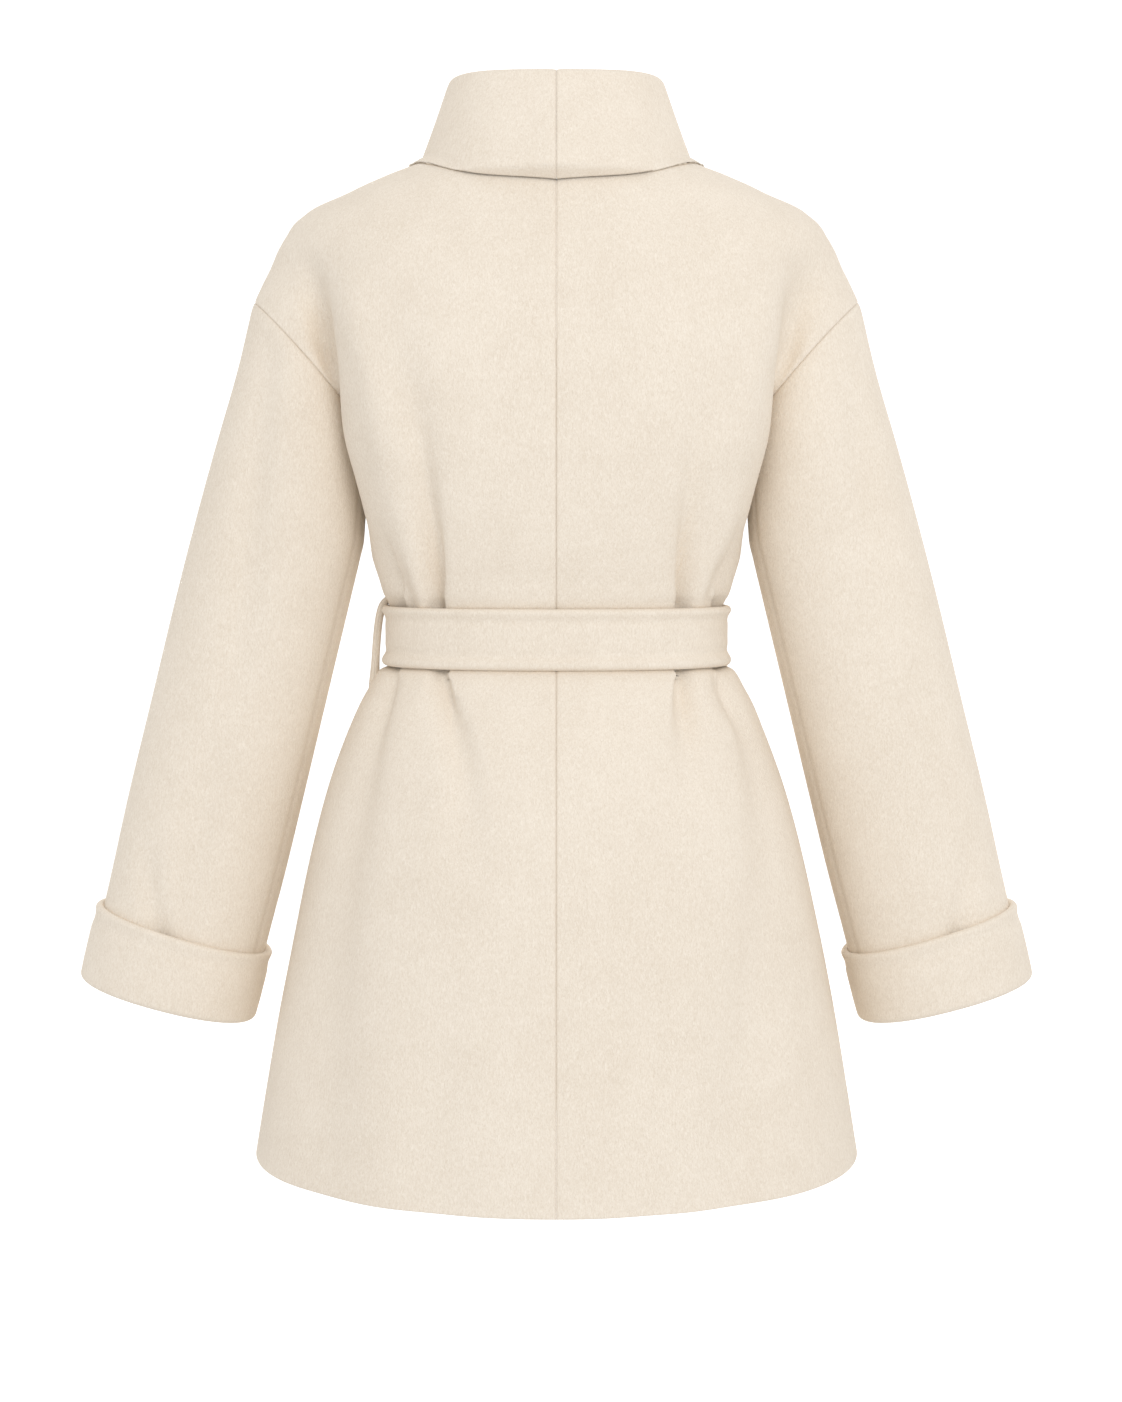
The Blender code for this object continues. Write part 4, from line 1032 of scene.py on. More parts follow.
@dataclass(frozen=True)
class NapGroup:
    """The shader group for felted wool: short fibres that lie in wisps, over soft clouds of shade."""

    name: str = "felted_nap"
    wisps: tuple[Wisps, ...] = (
        Wisps((0, 42, 10), 0.34, 980, 0.55),
        Wisps((0, -40, -12), 0.34, 900, 0.55),
        Wisps((20, 82, 0), 0.38, 820, 0.5),
    )
    curl: float = 0.9
    middle: float = 0.56
    cloud_scale: float = 38
    patch_scale: float = 9
    cloud_height: float = 0.25

    def build(self) -> None:
        """Build the group once."""
        group = bpy.data.node_groups.new(self.name, "ShaderNodeTree")
        face = group.interface
        face.new_socket(name="Vector", in_out="INPUT", socket_type="NodeSocketVector")
        for name in ("Fibre", "Cloud"):
            face.new_socket(name=name, in_out="INPUT", socket_type="NodeSocketFloat")
        for name in ("Shade", "Height"):
            face.new_socket(name=name, in_out="OUTPUT", socket_type="NodeSocketFloat")
        net = NodeTree(group)
        given = net.add("NodeGroupInput").outputs
        out = net.add("NodeGroupOutput").inputs
        place = given["Vector"]
        first, second, third = (
            net.noise(net.turned(place, wisp.turn, (1.0, 1.0, wisp.stretch)), wisp.scale, 2.0, wisp.roughness,
                      self.curl)
            for wisp in self.wisps
        )
        high = net.math("MAXIMUM", net.math("MAXIMUM", first, second), third)
        fibre = net.math("MULTIPLY", net.math("SUBTRACT", high, self.middle), given["Fibre"])
        cloud = net.math("SUBTRACT", net.noise(place, self.cloud_scale, 3.0, 0.55), 0.5)
        patch = net.math("SUBTRACT", net.noise(place, self.patch_scale), 0.5)
        soft = net.math("MULTIPLY", net.math("ADD", cloud, patch), given["Cloud"])
        shade = net.math("ADD", net.math("ADD", fibre, soft), 0.5)
        net.join(net.math("ADD", shade, 0.0, clamp=True), out["Shade"])
        net.join(net.math("ADD", fibre, net.math("MULTIPLY", cloud, self.cloud_height)), out["Height"])


def new_finish(name: str, roughness: float) -> tuple[bpy.types.Material, NodeTree, bpy.types.Node,
                                                     bpy.types.NodeSocket]:
    """Start a material.

    Args:
        name: its name.
        roughness: its shader's roughness.

    Returns:
        The material, its nodes, its shader and the coordinates that its patterns are read at.
    """
    made = bpy.data.materials.new(name)
    made.use_nodes = True
    net = NodeTree(made.node_tree)
    shader = made.node_tree.nodes["Principled BSDF"]
    shader.inputs["Roughness"].default_value = roughness
    return made, net, shader, net.add("ShaderNodeTexCoord").outputs["Object"]


@dataclass(frozen=True)
class WoolFinish:
    """A felted wool surface, darkened along its seams by painted shade."""

    name: str = "cream_wool"
    light: Colour = (0.89, 0.808, 0.70)
    dark: Colour = (0.76, 0.665, 0.55)
    # the dark colour of the painted shade along the seams, and the most that the cloth is mixed towards it
    seam: Colour = (0.42, 0.33, 0.24)
    seam_shade_share: float = 0.2
    fibre: float = 3.2
    cloud: float = 0.45
    bump: float = 0.5
    depth_mm: float = 0.35
    roughness: float = 0.93
    specular: float = 0.15
    sheen: float = 0.12
    sheen_roughness: float = 0.6

    def build(self) -> bpy.types.Material:
        """Make the material."""
        made, net, shader, place = new_finish(self.name, self.roughness)
        shader.inputs["Specular IOR Level"].default_value = self.specular
        shader.inputs["Sheen Weight"].default_value = self.sheen
        shader.inputs["Sheen Roughness"].default_value = self.sheen_roughness
        shader.inputs["Sheen Tint"].default_value = (*self.light, 1.0)
        # the painted seam shade that the walls store on their points
        pressed = net.add("ShaderNodeAttribute", attribute_name="pressed").outputs["Fac"]
        nap = net.add("ShaderNodeGroup", node_tree=bpy.data.node_groups[NapGroup.name])
        net.join(place, nap.inputs["Vector"])
        nap.inputs["Fibre"].default_value = self.fibre
        nap.inputs["Cloud"].default_value = self.cloud
        cloth = net.mix(self.dark, self.light, nap.outputs["Shade"])
        # painted shade: the cloth's colour mixed towards the dark seam colour along the seams, standing in
        # for the shade in their grooves
        sunk = net.mix(cloth, self.seam, net.math("MULTIPLY", pressed, self.seam_shade_share))
        net.join(sunk, shader.inputs["Base Color"])
        net.join(net.bump(nap.outputs["Height"], self.bump, self.depth_mm), shader.inputs["Normal"])
        return made


@dataclass(frozen=True)
class HornFinish:
    """Polished pale horn, for the buttons."""

    name: str = "pale_horn"
    light: Colour = (0.70, 0.57, 0.42)
    dark: Colour = (0.42, 0.31, 0.20)
    roughness: float = 0.28
    polish: float = 0.25
    swirl_scale: float = 150
    scratch_scale: float = 900
    scratch: float = 0.12
    scratch_mm: float = 0.1

    def build(self) -> bpy.types.Material:
        """Make the material."""
        made, net, shader, place = new_finish(self.name, self.roughness)
        shader.inputs["Coat Weight"].default_value = self.polish
        swirl = net.noise(net.turned(place, (0, 25, 0), (1.0, 1.0, 0.35)), self.swirl_scale, 4.0, 0.6, 1.2)
        share = net.math("MULTIPLY", net.math("SUBTRACT", swirl, 0.3), 2.2, clamp=True)
        net.join(net.mix(self.dark, self.light, share), shader.inputs["Base Color"])
        scratches = net.noise(net.turned(place, (10, 40, 0), (1.0, 1.0, 0.1)), self.scratch_scale)
        net.join(net.bump(scratches, self.scratch, self.scratch_mm), shader.inputs["Normal"])
        return made


@dataclass(frozen=True)
class ThreadFinish:
    """Twisted sewing thread."""

    name: str = "sewing_thread"
    colour: Colour = (0.78, 0.69, 0.56)
    shade: float = 0.75
    roughness: float = 0.6
    twist_scale: float = 1800

    def build(self) -> bpy.types.Material:
        """Make the material."""
        made, net, shader, place = new_finish(self.name, self.roughness)
        twist = net.noise(net.turned(place, (0, 45, 45), (1.0, 1.0, 0.3)), self.twist_scale)
        dark = tuple(self.shade * c for c in self.colour)
        net.join(net.mix(dark, self.colour, twist), shader.inputs["Base Color"])
        return made


# ---------------------------------------------------------------- what every sub-assembly does


@dataclass
class CoatPart:
    """A sub-assembly of the coat, laid on the form and its seams, and the finish that it is dressed in."""

    form: CoatForm
    seams: Seams
    finish: bpy.types.Material

    def build(self) -> None:
        """Make and dress the pieces."""
        raise NotImplementedError

    def dress(self, made: bpy.types.Object, slot: str, *nodes: str) -> None:
        """Give a piece its finish and its body, and hide the solids that it stands for.

        Args:
            made: the piece.
            slot: the record's material slot; not used.
            nodes: the solids that it replaces.
        """
        made.data.materials.append(self.finish)
        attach(made, "root")
        if nodes:
            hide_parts(*nodes)
        LOG.info("%s: %d faces", made.name, len(made.data.polygons))

    def declare(self, made: bpy.types.Object, net: Array, held: str, rests_on: tuple[str, ...] = (),
                layers: float = 1.0) -> None:
        """Work out the flat size that a piece is cut to, from its net; the size is not used further.

        Args:
            made: the piece; not used.
            net: its outer face.
            held: how it is held; not used.
            rests_on: what it hangs from; not used.
            layers: how often the cut is folded over across its width.
        """
        width, length = flat_size(net)
        width *= layers


# ---------------------------------------------------------------- body


@dataclass
class BodyPanels(CoatPart):
    """The four panels of the body: two backs and two fronts."""

    row_spacing: float = 4.6
    column_spacing: float = 3.4
    belt_rows: tuple[int, int] = (8, 15)
    waist_rows: tuple[int, int] = (11, 24)
    closest_rows: float = 0.08
    closest_columns: float = 0.0006
    back_pleats: tuple[tuple[float, float, float], ...] = ((0.36, 0.56, 0.0055), (0.62, 0.78, 0.008))
    front_pleats: tuple[tuple[float, float, float], ...] = ((0.55, 0.68, 0.008),)
    held_at_side: tuple[float, float] = (0.5, 15.0)
    held_at_front: tuple[float, float] = (0.0, 12.0)
    shared_normals: tuple[float, float] = (2.0, 9.0)

    def build(self) -> None:
        """Make and dress the four panels."""
        for panel, half, field in (
            (Panel.BACK, Half.LEFT, self.form.gap),
            (Panel.BACK, Half.RIGHT, self.form.gap),
            (Panel.FRONT, Half.LEFT, self.form.gap),
            (Panel.FRONT, Half.RIGHT, self.form.over_field),
        ):
            name = f"{panel.name.lower()}_{half.name.lower()}"
            net = self.net(panel, field, half)
            edges = {"low": Edge.TURNED, "high": Edge.SEWN, "last": Edge.SEWN,
                     "first": Edge.SEWN if panel is Panel.BACK else Edge.TURNED}
            outer_dip, inner_dip, pressed = edge_dips(net, edges, CLOTH.wall)
            normals = self.normals(net, field)
            net = trimmed(net, edges)
            outer = net - outer_dip[..., None] * normals
            inner = net - (CLOTH.wall - inner_dip)[..., None] * normals
            # the wall carries the painted shade along its sewn edges
            made = Wall(f"{name}_cloth", outer, inner, painted_seam_shade=pressed).build(half)
            self.dress(made, "coat_cloth", name)
            self.declare(made, net, "hung")

    def rows_and_columns(self, rows: list[Array], panel: Panel) -> tuple[Array, Array]:
        """Where the fine net's rows and columns lie.

        Args:
            rows: the coarse rows.
            panel: back or front.

        Returns:
            The rows, counted in coarse ones, and the columns, as shares of a row.
        """
        net = np.array(rows)
        steps = np.linalg.norm(np.diff(net, axis=0), axis=-1).mean(axis=1)
        climb = np.concatenate([[0], np.cumsum(steps)])
        lines = fine_steps(climb[-1], self.row_spacing)
        low, high = climb[list(self.belt_rows)]
        extra = np.arange(low, high, self.row_spacing / 2)
        lines = np.unique(np.concatenate([lines, extra]).round(2))
        lines = lines[np.concatenate([[True], np.diff(lines) > self.closest_rows])]
        v = np.interp(lines, climb, np.arange(len(climb)))
        width = np.linalg.norm(np.diff(net[slice(*self.waist_rows)], axis=1), axis=-1).sum(axis=1).mean()
        pleats = self.back_pleats if panel is Panel.BACK else self.front_pleats
        marks = [fine_steps(width, self.column_spacing) / width, *(np.arange(*pleat) for pleat in pleats)]
        marks = np.unique(np.concatenate(marks).round(5))
        return v, marks[np.concatenate([[True], np.diff(marks) > self.closest_columns])]

    def net(self, panel: Panel, field: Field, half: Half) -> Array:
        """A panel's fine net, with the belt's pleats in it.

        Args:
            panel: back or front.
            field: the form that it lies on.
            half: the half of the coat that it is for.

        Returns:
            The net, row by row from the hem.
        """
        form = self.form
        rows = self.seams.lay(panel, field)
        v, shares = self.rows_and_columns(rows, panel)
        coarse = np.array([along_path(row, shares) for row in rows])
        low = np.clip(v.astype(int), 0, len(rows) - 2)
        t = (v - low)[:, None, None]
        net = coarse[low] * (1 - t) + coarse[low + 1] * t
        inner, outer = self.seams.inner_edge(panel, field, v), self.seams.outer_edge(panel, v)
        first_rows = v < 1
        inner[first_rows] = net[first_rows, 0]
        outer[first_rows] = net[first_rows, -1]
        blend = shares[None, :, None]
        net = net + (1 - blend) * (inner - net[:, 0])[:, None] + blend * (outer - net[:, -1])[:, None]
        armpit = len(self.seams.row_heights)
        climb = ease(0, 0.5, (v - armpit + 1) / (len(rows) - armpit))[:, None]
        inside = net[1:-1, 1:-1]
        net[1:-1, 1:-1] = form.settle(field, inside, climb=climb[1:-1], rounds=4)
        level = unit(self.normals(net, field) * [1, 1, 0])
        return net - self.pressed(net, panel, half)[..., None] * level

    def pressed(self, net: Array, panel: Panel, half: Half) -> Array:
        """How deep the pleats press a panel in, none of it at the side seam."""
        around, z = self.form.around(net), net[..., 2]
        deep = np.zeros(around.shape)
        for pleat in PLEATS:
            if pleat.panel is panel:
                deep += pleat.pressed(around, z, half)
        if panel is Panel.BACK:
            deep += sum(fold.pressed(net) for fold in BACK_FOLDS if fold.half is half)
            own_side = 1.0
        else:
            own_side = ease(*self.held_at_front, net[..., 0])
        return deep * ease(*self.held_at_side, edge_runs(net)["last"]) * own_side

    def normals(self, net: Array, field: Field) -> Array:
        """A panel's normals, which at its edges are the form's, so that sewn walls share them."""
        of_form = unit(self.form.slope(field, net))
        of_net = net_normals(net)
        of_net *= np.sign((of_net * of_form).sum(-1, keepdims=True))
        runs = edge_runs(net)
        near = np.minimum.reduce([runs["first"], runs["last"], runs["low"], runs["high"]])
        share = ease(*self.shared_normals, near)[..., None]
        return unit(of_form * (1 - share) + of_net * share)


# ---------------------------------------------------------------- collar


@dataclass
class Collar(CoatPart):
    """The two halves of the collar, which stands, folds over and runs on as the lapel."""

    table: Table = rows_of(
        along=[0.0, 0.106, 0.176, 0.246, 0.346, 0.447, 0.547, 0.648, 0.749, 0.849, 0.95, 1.0],
        fold_x=[0, 45, 68, 82, 81.5, 69, 47, 21, -7, -36, -64, -76],
        fold_y=[66, 59, 43, 16, -27, -61, -88, -110, -127, -140.5, -139, -129],
        fold_z=[53.4, 54, 54.4, 53.5, 42, 8, -44, -102, -162, -218, -271, -295],
        edge_x=[0, 60, 90, 109.5, 115.5, 126, 131, 118.5, 87, 37, -36, -70],
        edge_y=[101, 88, 62, 20, -44, -80, -96, -118, -133, -144, -144, -130],
        edge_z=[-26.5, -24.5, -22, -20, -29, -48, -87, -146, -204, -251, -292, -304],
        roll=[5.0, 5.0, 5.0, 5.0, 4.8, 4.2, 3.4, 2.8, 2.4, 2.3, 2.3, 2.3],
        slack=[200, 200, 200, 200, 200, 45, 18, 6, 1, 0, 0, 0],
        edge_gap=[0.3, 0.3, 0.2, 0, 0, 0, 0, 0, 0, 0, 0, 0],
        crown=[2, 1, 0, -1, -1, 0, 1, 1, 0, 0, 0, 0],
    )
    foot: float = 2.5
    layer: float = 1.8
    station_spacing: float = 3.6
    stand_points: int = 12
    fold_points: int = 13
    fall_spacing: float = 3.4
    table_smoothing: int = 30
    foot_share: float = 0.25
    closes_from: float = 0.45
    closes_by: float = 0.95
    fold_smoothing: int = 8
    smoothed_columns: tuple[int, int] = (-4, 6)
    thinner: float = 0.9
    thin_width: float = 9.0

    def build(self) -> None:
        """Make and dress the two halves."""
        for half, field in ((Half.LEFT, self.form.gap), (Half.RIGHT, self.form.over_field)):
            net, outward = self.net(field)
            normals = net_normals(net)
            normals *= np.sign((normals[:, :1] * outward[:, None]).sum(-1, keepdims=True))
            normals[:, 0] = outward
            normals[0, :, 0] = 0
            normals = unit(normals)
            edges = {"low": Edge.SEWN, "high": Edge.TURNED, "first": Edge.RAW, "last": Edge.TURNED}
            outer_dip, inner_dip, pressed = edge_dips(net, edges, CLOTH.wall)
            thin = self.thinner * hill(edge_runs(net)["last"], 0, self.thin_width)
            in_face = net + (CLOTH.wall / 2 - inner_dip)[..., None] * normals
            out_face = net - (CLOTH.wall / 2 - outer_dip - thin)[..., None] * normals
            for face in (in_face, out_face):
                face[0, :, 0] = CLOTH.seam / 2 * SEAM.drawn_in
            name = f"collar_{half.name.lower()}"
            # the wall carries the painted shade along its sewn neck edge
            made = Wall(f"{name}_cloth", in_face, out_face, painted_seam_shade=pressed).build(half)
            self.dress(made, "collar_cloth", name)
            self.declare(made, net, "folded", ("back_left_cloth",))

    def net(self, field: Field) -> tuple[Array, Array]:
        """The middle of the collar's cloth, a row for each station along the neck seam.

        Args:
            field: the form that the collar lies on.

        Returns:
            The net, and the form's normals along the seam.
        """
        form = self.form
        seam = np.concatenate([self.seams.neck(), self.seams.roll_line(field)[1:]])
        length = run_of(seam)[-1]
        seam = along_path(seam, fine_steps(length, self.station_spacing) / length)
        run = run_of(seam)
        along = run / run[-1]
        fold, edge = (np.stack([curve(self.table["along"], self.table[f"{name}_{k}"])(along) for k in "xyz"],
                               axis=1) for name in ("fold", "edge"))
        fold, edge = (softened(line, self.table_smoothing, 0) for line in (fold, edge))
        roll, slack, edge_gap, crown = (curve(self.table["along"], self.table[name])(along)
                                        for name in ("roll", "slack", "edge_gap", "crown"))
        outward = unit(form.slope(field, seam))
        direction = np.gradient(seam, run, axis=0)
        beyond = np.cross(outward, direction)
        beyond = unit(beyond * np.sign(((fold - seam) * beyond).sum(-1, keepdims=True)))
        base = seam - CLOTH.wall / 2 * outward + CLOTH.seam / 2 * beyond
        fold = form.held(field, fold, self.layer / 2, self.layer / 2 + slack)
        rise = np.linalg.norm(fold - base, axis=-1, keepdims=True)
        foot = base + np.minimum(self.foot, self.foot_share * rise) * beyond
        up = unit(fold - foot)
        away = edge - foot
        away = unit(away - (away * up).sum(-1, keepdims=True) * up)
        centre = fold - roll[:, None] * up
        rise = centre - roll[:, None] * away - foot
        rows = [base, base + 0.5 * (foot - base)]
        rows += [foot + rise * share for share in np.linspace(0, 1, self.stand_points)[:-1]]
        rows += [centre - roll[:, None] * (math.cos(a) * away - math.sin(a) * up)
                 for a in np.linspace(0, math.pi, self.fold_points)]
        top = rows[-1]
        height = np.linalg.norm(edge - top, axis=-1).max()
        shares = fine_steps(height, self.fall_spacing, start=False) / height
        start = len(rows)
        rows += [top + (edge - top) * share + (crown * math.sin(math.pi * share))[:, None] * away
                 for share in shares[1:]]
        net = np.array(rows).transpose(1, 0, 2)
        closing = 1 - self.closes_by * ease(self.closes_from, 1.0, shares[1:])
        lay = CLOTH.wall / 2 + self.layer * closing * np.ones((len(net), 1))
        allowed = lay + slack[:, None] * (1 - shares[1:]) + edge_gap[:, None] * shares[1:]
        net[:, start:] = form.held(field, net[:, start:], lay, allowed)
        bend = np.s_[:, slice(*(start + column for column in self.smoothed_columns))]
        net[bend] = softened(net[bend], self.fold_smoothing, 1)
        return net, outward


# ---------------------------------------------------------------- sleeves


@dataclass
class Sleeves(CoatPart):
    """The two sleeves, each a tube with one seam under the arm."""

    table: Table = rows_of(
        outer_z=[-119, -133, -151, -173, -201, -236, -282, -338, -400, -462, -524, -573, -612, -658],
        inner_z=[-212, -226, -243, -262, -286, -315, -352, -399, -452, -506, -563, -609, -647, -693],
        half_depth=[54, 57, 60, 62, 63, 63, 62, 61, 60, 60, 61, 62, 63, 64],
        centre_y=[-12, -13, -14, -15, -16, -17, -18, -19, -20, -20, -20, -20, -20, -20],
    )
    outer_line: Table = rows_of(z=[-660, -578, -514, -434, -354, -274, -194, -119],
                                x=[381.3, 361.4, 346.8, 326.8, 306.8, 285.2, 261.5, 236])
    inner_line: Table = rows_of(z=[-700, -618, -578, -514, -434, -354, -322, -306, -262, -232, -212],
                                x=[253.5, 232, 221.2, 205.4, 186, 166.4, 158.6, 155, 153, 153, 155.5])
    squareness: float = 2.2
    armhole_fade: float = 4.0
    ring_spacing: float = 4.4
    around_points: int = 76
    inner_leg: float = 12.0
    seam_angle: float = math.radians(157.0)
    seam_depth: float = 0.9
    seam_width: float = 2.6
    # how strong the painted shade in the underarm seam's groove is
    seam_pressed: float = 0.7
    shared_rings: int = 6
    fine_rings: int = 131
    fold_start: tuple[float, float] = (1.0, 22.0)
    fold_side: tuple[float, float] = (-20.0, 5.0)

    def rings(self, extra: object = None) -> tuple[Array, Array]:
        """The sleeve's outer face as rings, from the armhole to the wrist.

        Args:
            extra: which rings, counted in the table's rows; all of them if left out.

        Returns:
            The rings, and the angle of each of their points round the arm.
        """
        last = len(self.table["outer_z"]) - 1
        half_circle = np.linspace(0, 1, self.around_points + 1)
        seam = np.concatenate([along_path(self.seams.armhole(1), half_circle),
                               along_path(self.seams.armhole(-1), half_circle)[::-1][1:-1]])
        form = self.form
        middle = (form.armhole_top + form.underarm) / 2
        half = (form.armhole_top - form.underarm) / 2
        q = seam - middle
        angle = np.arctan2(q[:, 1] / form.armhole_half_depth, q @ half / (half @ half))
        values = {name: curve(np.arange(last + 1), row) for name, row in self.table.items()}
        if extra is None:
            steps = np.linspace(0, last, self.fine_rings)
            coarse_z = values["outer_z"](steps)
            climb = np.abs(np.diff(coarse_z, prepend=coarse_z[0])).cumsum()
            extra = np.interp(fine_steps(climb[-1], self.ring_spacing), climb, steps)
        extra = np.asarray(extra, float)
        outer_z, inner_z = values["outer_z"](extra), values["inner_z"](extra)
        outer, inner = self._line_at(self.outer_line, outer_z), self._line_at(self.inner_line, inner_z)
        c, s = np.cos(angle)[None, :, None], np.sin(angle)[None, :, None]
        power = 2 / self.squareness
        across, deep = np.sign(c) * np.abs(c) ** power, np.sign(s) * np.abs(s) ** power
        centre, reach = (outer + inner) / 2, (outer - inner) / 2
        centre[:, 1] = values["centre_y"](extra)
        depth = np.zeros_like(centre)
        depth[:, 1] = values["half_depth"](extra)
        rings = centre[:, None] + across * reach[:, None] + deep * depth[:, None]
        first = self._first_ring(values, across, deep)
        fade = 1 - ease(0, self.armhole_fade, extra)
        return rings + fade[:, None, None] * (seam - first), angle

    def _line_at(self, line: Table, z: Array) -> Array:
        """The points of the sleeve's outer or inner line at these heights."""
        return np.stack([curve(line["z"], line["x"])(z), 0 * z, z], axis=-1)

    def _first_ring(self, values: dict[str, Callable], across: Array, deep: Array) -> Array:
        """The plain ring at the armhole, before it takes the armhole's own shape."""
        outer = self._line_at(self.outer_line, values["outer_z"](0))
        inner = self._line_at(self.inner_line, values["inner_z"](0))
        centre = (outer + inner) / 2 + np.array([0, float(values["centre_y"](0)), 0])
        depth = np.array([0, float(values["half_depth"](0)), 0])
        return centre + across[0] * (outer - inner) / 2 + deep[0] * depth

    def normals(self, rings: Array) -> Array:
        """Outward unit normals of closed rings."""
        normals = net_normals(rings, tube=True)
        middle = rings.mean(axis=1, keepdims=True)
        return normals * np.sign(((rings - middle) * normals).sum(-1, keepdims=True))

    def build(self) -> None:
        """Make and dress the two sleeves."""
        rings, angle = self.rings()
        normals = self.normals(rings)
        body = unit(self.form.slope(self.form.gap, rings[0]))
        for i, share in enumerate(np.linspace(1, 0, self.shared_rings + 1)[:-1]):
            normals[i] = unit(normals[i] * (1 - share) + body * share)
        edges = {"low": Edge.SEWN, "high": Edge.RAW}
        outer_dip, inner_dip, pressed = edge_dips(rings, edges, CLOTH.wall)
        circle = rings.shape[1]
        steps = np.abs(np.arange(circle) - np.argmin(np.abs(angle - self.seam_angle)))
        steps = np.minimum(steps, circle - steps)
        apart = steps * np.linalg.norm(np.roll(rings, -1, axis=1) - rings, axis=-1).mean()
        groove = hill(apart, 0, self.seam_width)[None, :] * np.ones((len(rings), 1))
        outer_dip = np.maximum(outer_dip, self.seam_depth * groove)
        # painted shade along the underarm seam's groove, added to that along the armhole seam
        pressed = np.maximum(pressed, self.seam_pressed * groove)
        rings[0] += CLOTH.seam / 2 * SEAM.drawn_in * unit(rings[1] - rings[0])
        outer = rings - outer_dip[..., None] * normals
        outer[-1] += (CLOTH.seam + self.inner_leg) * unit(rings[-2] - rings[-1])
        outer, keep = self._untangled(outer)
        normals, inner_dip, pressed = normals[keep], inner_dip[keep], pressed[keep]
        inner = outer - (CLOTH.wall - inner_dip)[..., None] * normals
        apart = ease(*self.fold_start, edge_runs(outer)["low"]) * ease(*self.fold_side, outer[..., 1])
        for half in Half:
            name = f"sleeve_{half.name.lower()}"
            deep = sum(fold.pressed(outer) for fold in SLEEVE_FOLDS if fold.half is half)
            shift = (deep * apart)[..., None] * normals
            made = Wall(f"{name}_cloth", outer - shift, inner - shift, tube=True, painted_seam_shade=pressed).build(half)
            self.dress(made, "coat_cloth", name)
            self.declare(made, outer, "hung")

    def _untangled(self, outer: Array) -> tuple[Array, Array]:
        """The rings without those that lie past the sleeve's drawn-back end."""
        end = self.inner_leg + 0.5
        run = edge_runs(outer[:-1])["high"].mean(axis=1)
        keep = np.concatenate([run > end, [True]])
        return outer[keep], keep


# ---------------------------------------------------------------- cuffs


@dataclass(frozen=True)
class Roll:
    """A long soft roll in a face, this far in from an edge; below 0 it is a hollow."""

    place: float
    width: float
    proud: float

    def at(self, run: Array) -> Array:
        """How far the face stands out at these distances from the edge."""
        return self.proud * hill(run, self.place, self.width)


@dataclass
class Cuffs(CoatPart):
    """The cuffs that the sleeves turn back into."""

    sleeves: Sleeves
    depth: float = 60.5
    depth_inside: float = 56.0
    stand_off: float = 4.2
    inner_leg: float = 12.0
    spacing: float = 3.4
    fold_points: int = 17
    hidden_share: float = 0.12
    rim: float = 3.1
    rim_fade: float = 4.0
    bulge: Table = rows_of(share=[0, 0.32, 0.64, 0.90, 1.0], out=[0.0, 0.3, 0.2, -1.2, -2.2])
    rolls: tuple[Roll, Roll] = (Roll(4.0, 3.0, 0.5), Roll(13.0, 4.0, -0.4))

    def net(self) -> Array:
        """The middle of the cuff's cloth, a ring of profiles: down outside, round the fold and up inside."""
        last = len(self.sleeves.table["outer_z"]) - 1
        rings, _ = self.sleeves.rings(np.linspace(last - 1, last, 5))
        normals = self.sleeves.normals(rings)
        end, up, out = rings[-1], unit(rings[-2] - rings[-1]), normals[-1]
        roll = (self.stand_off + CLOTH.wall / 2) / 2
        centre = end + (self.stand_off - roll) * out
        outside = 0.5 + 0.5 * unit(end - end.mean(axis=0))[:, :1]
        depth = self.depth_inside + (self.depth - self.depth_inside) * outside
        bulge = curve(self.bulge["share"], self.bulge["out"])
        length = float(depth.mean())
        shares = 1 - fine_steps(length, self.spacing, end=False) / length
        profile = [centre + share * depth * up + (roll + bulge(share)) * out
                   for share in shares if share > self.hidden_share]
        base = centre + roll * up
        for a in np.linspace(0, math.pi, self.fold_points):
            profile.append(base + roll * (math.cos(a) * out - math.sin(a) * up))
        last = end - CLOTH.wall / 2 * out + self.inner_leg * up
        start = profile[-1]
        profile += [start + (last - start) * share for share in np.linspace(0, 1, 5)[1:]]
        return np.array(profile).transpose(1, 0, 2)

    def build(self) -> None:
        """Make and dress the two cuffs."""
        net = self.net()
        normals = net_normals(net, ring=True)
        middle = net.mean(axis=0).mean(axis=0)
        if ((net[:, 0] - middle) * normals[:, 0]).sum() < 0:
            normals = -normals
        run = edge_runs(net)["first"]
        thick = (self.rim - CLOTH.cuff / 2) * hill(np.maximum(run - self.rim, 0), 0, self.rim_fade)
        proud = sum(roll.at(run) for roll in self.rolls)
        outer, inner = two_faces(net, normals, CLOTH.cuff / 2 + thick, rounded(run, self.rim), proud)
        for half in Half:
            name = f"cuff_{half.name.lower()}"
            made = Wall(f"{name}_cloth", outer, inner, ring=True).build(half)
            self.dress(made, "coat_cloth", name)
            self.declare(made, net, "folded", (f"sleeve_{half.name.lower()}_cloth",))


# ---------------------------------------------------------------- belt


@dataclass(frozen=True)
class BeltEnd:
    """A hanging end: its length, how far it drifts sideways and how far it stands off, in millimetres."""

    half: Half
    length: float
    drift: float
    lift: float


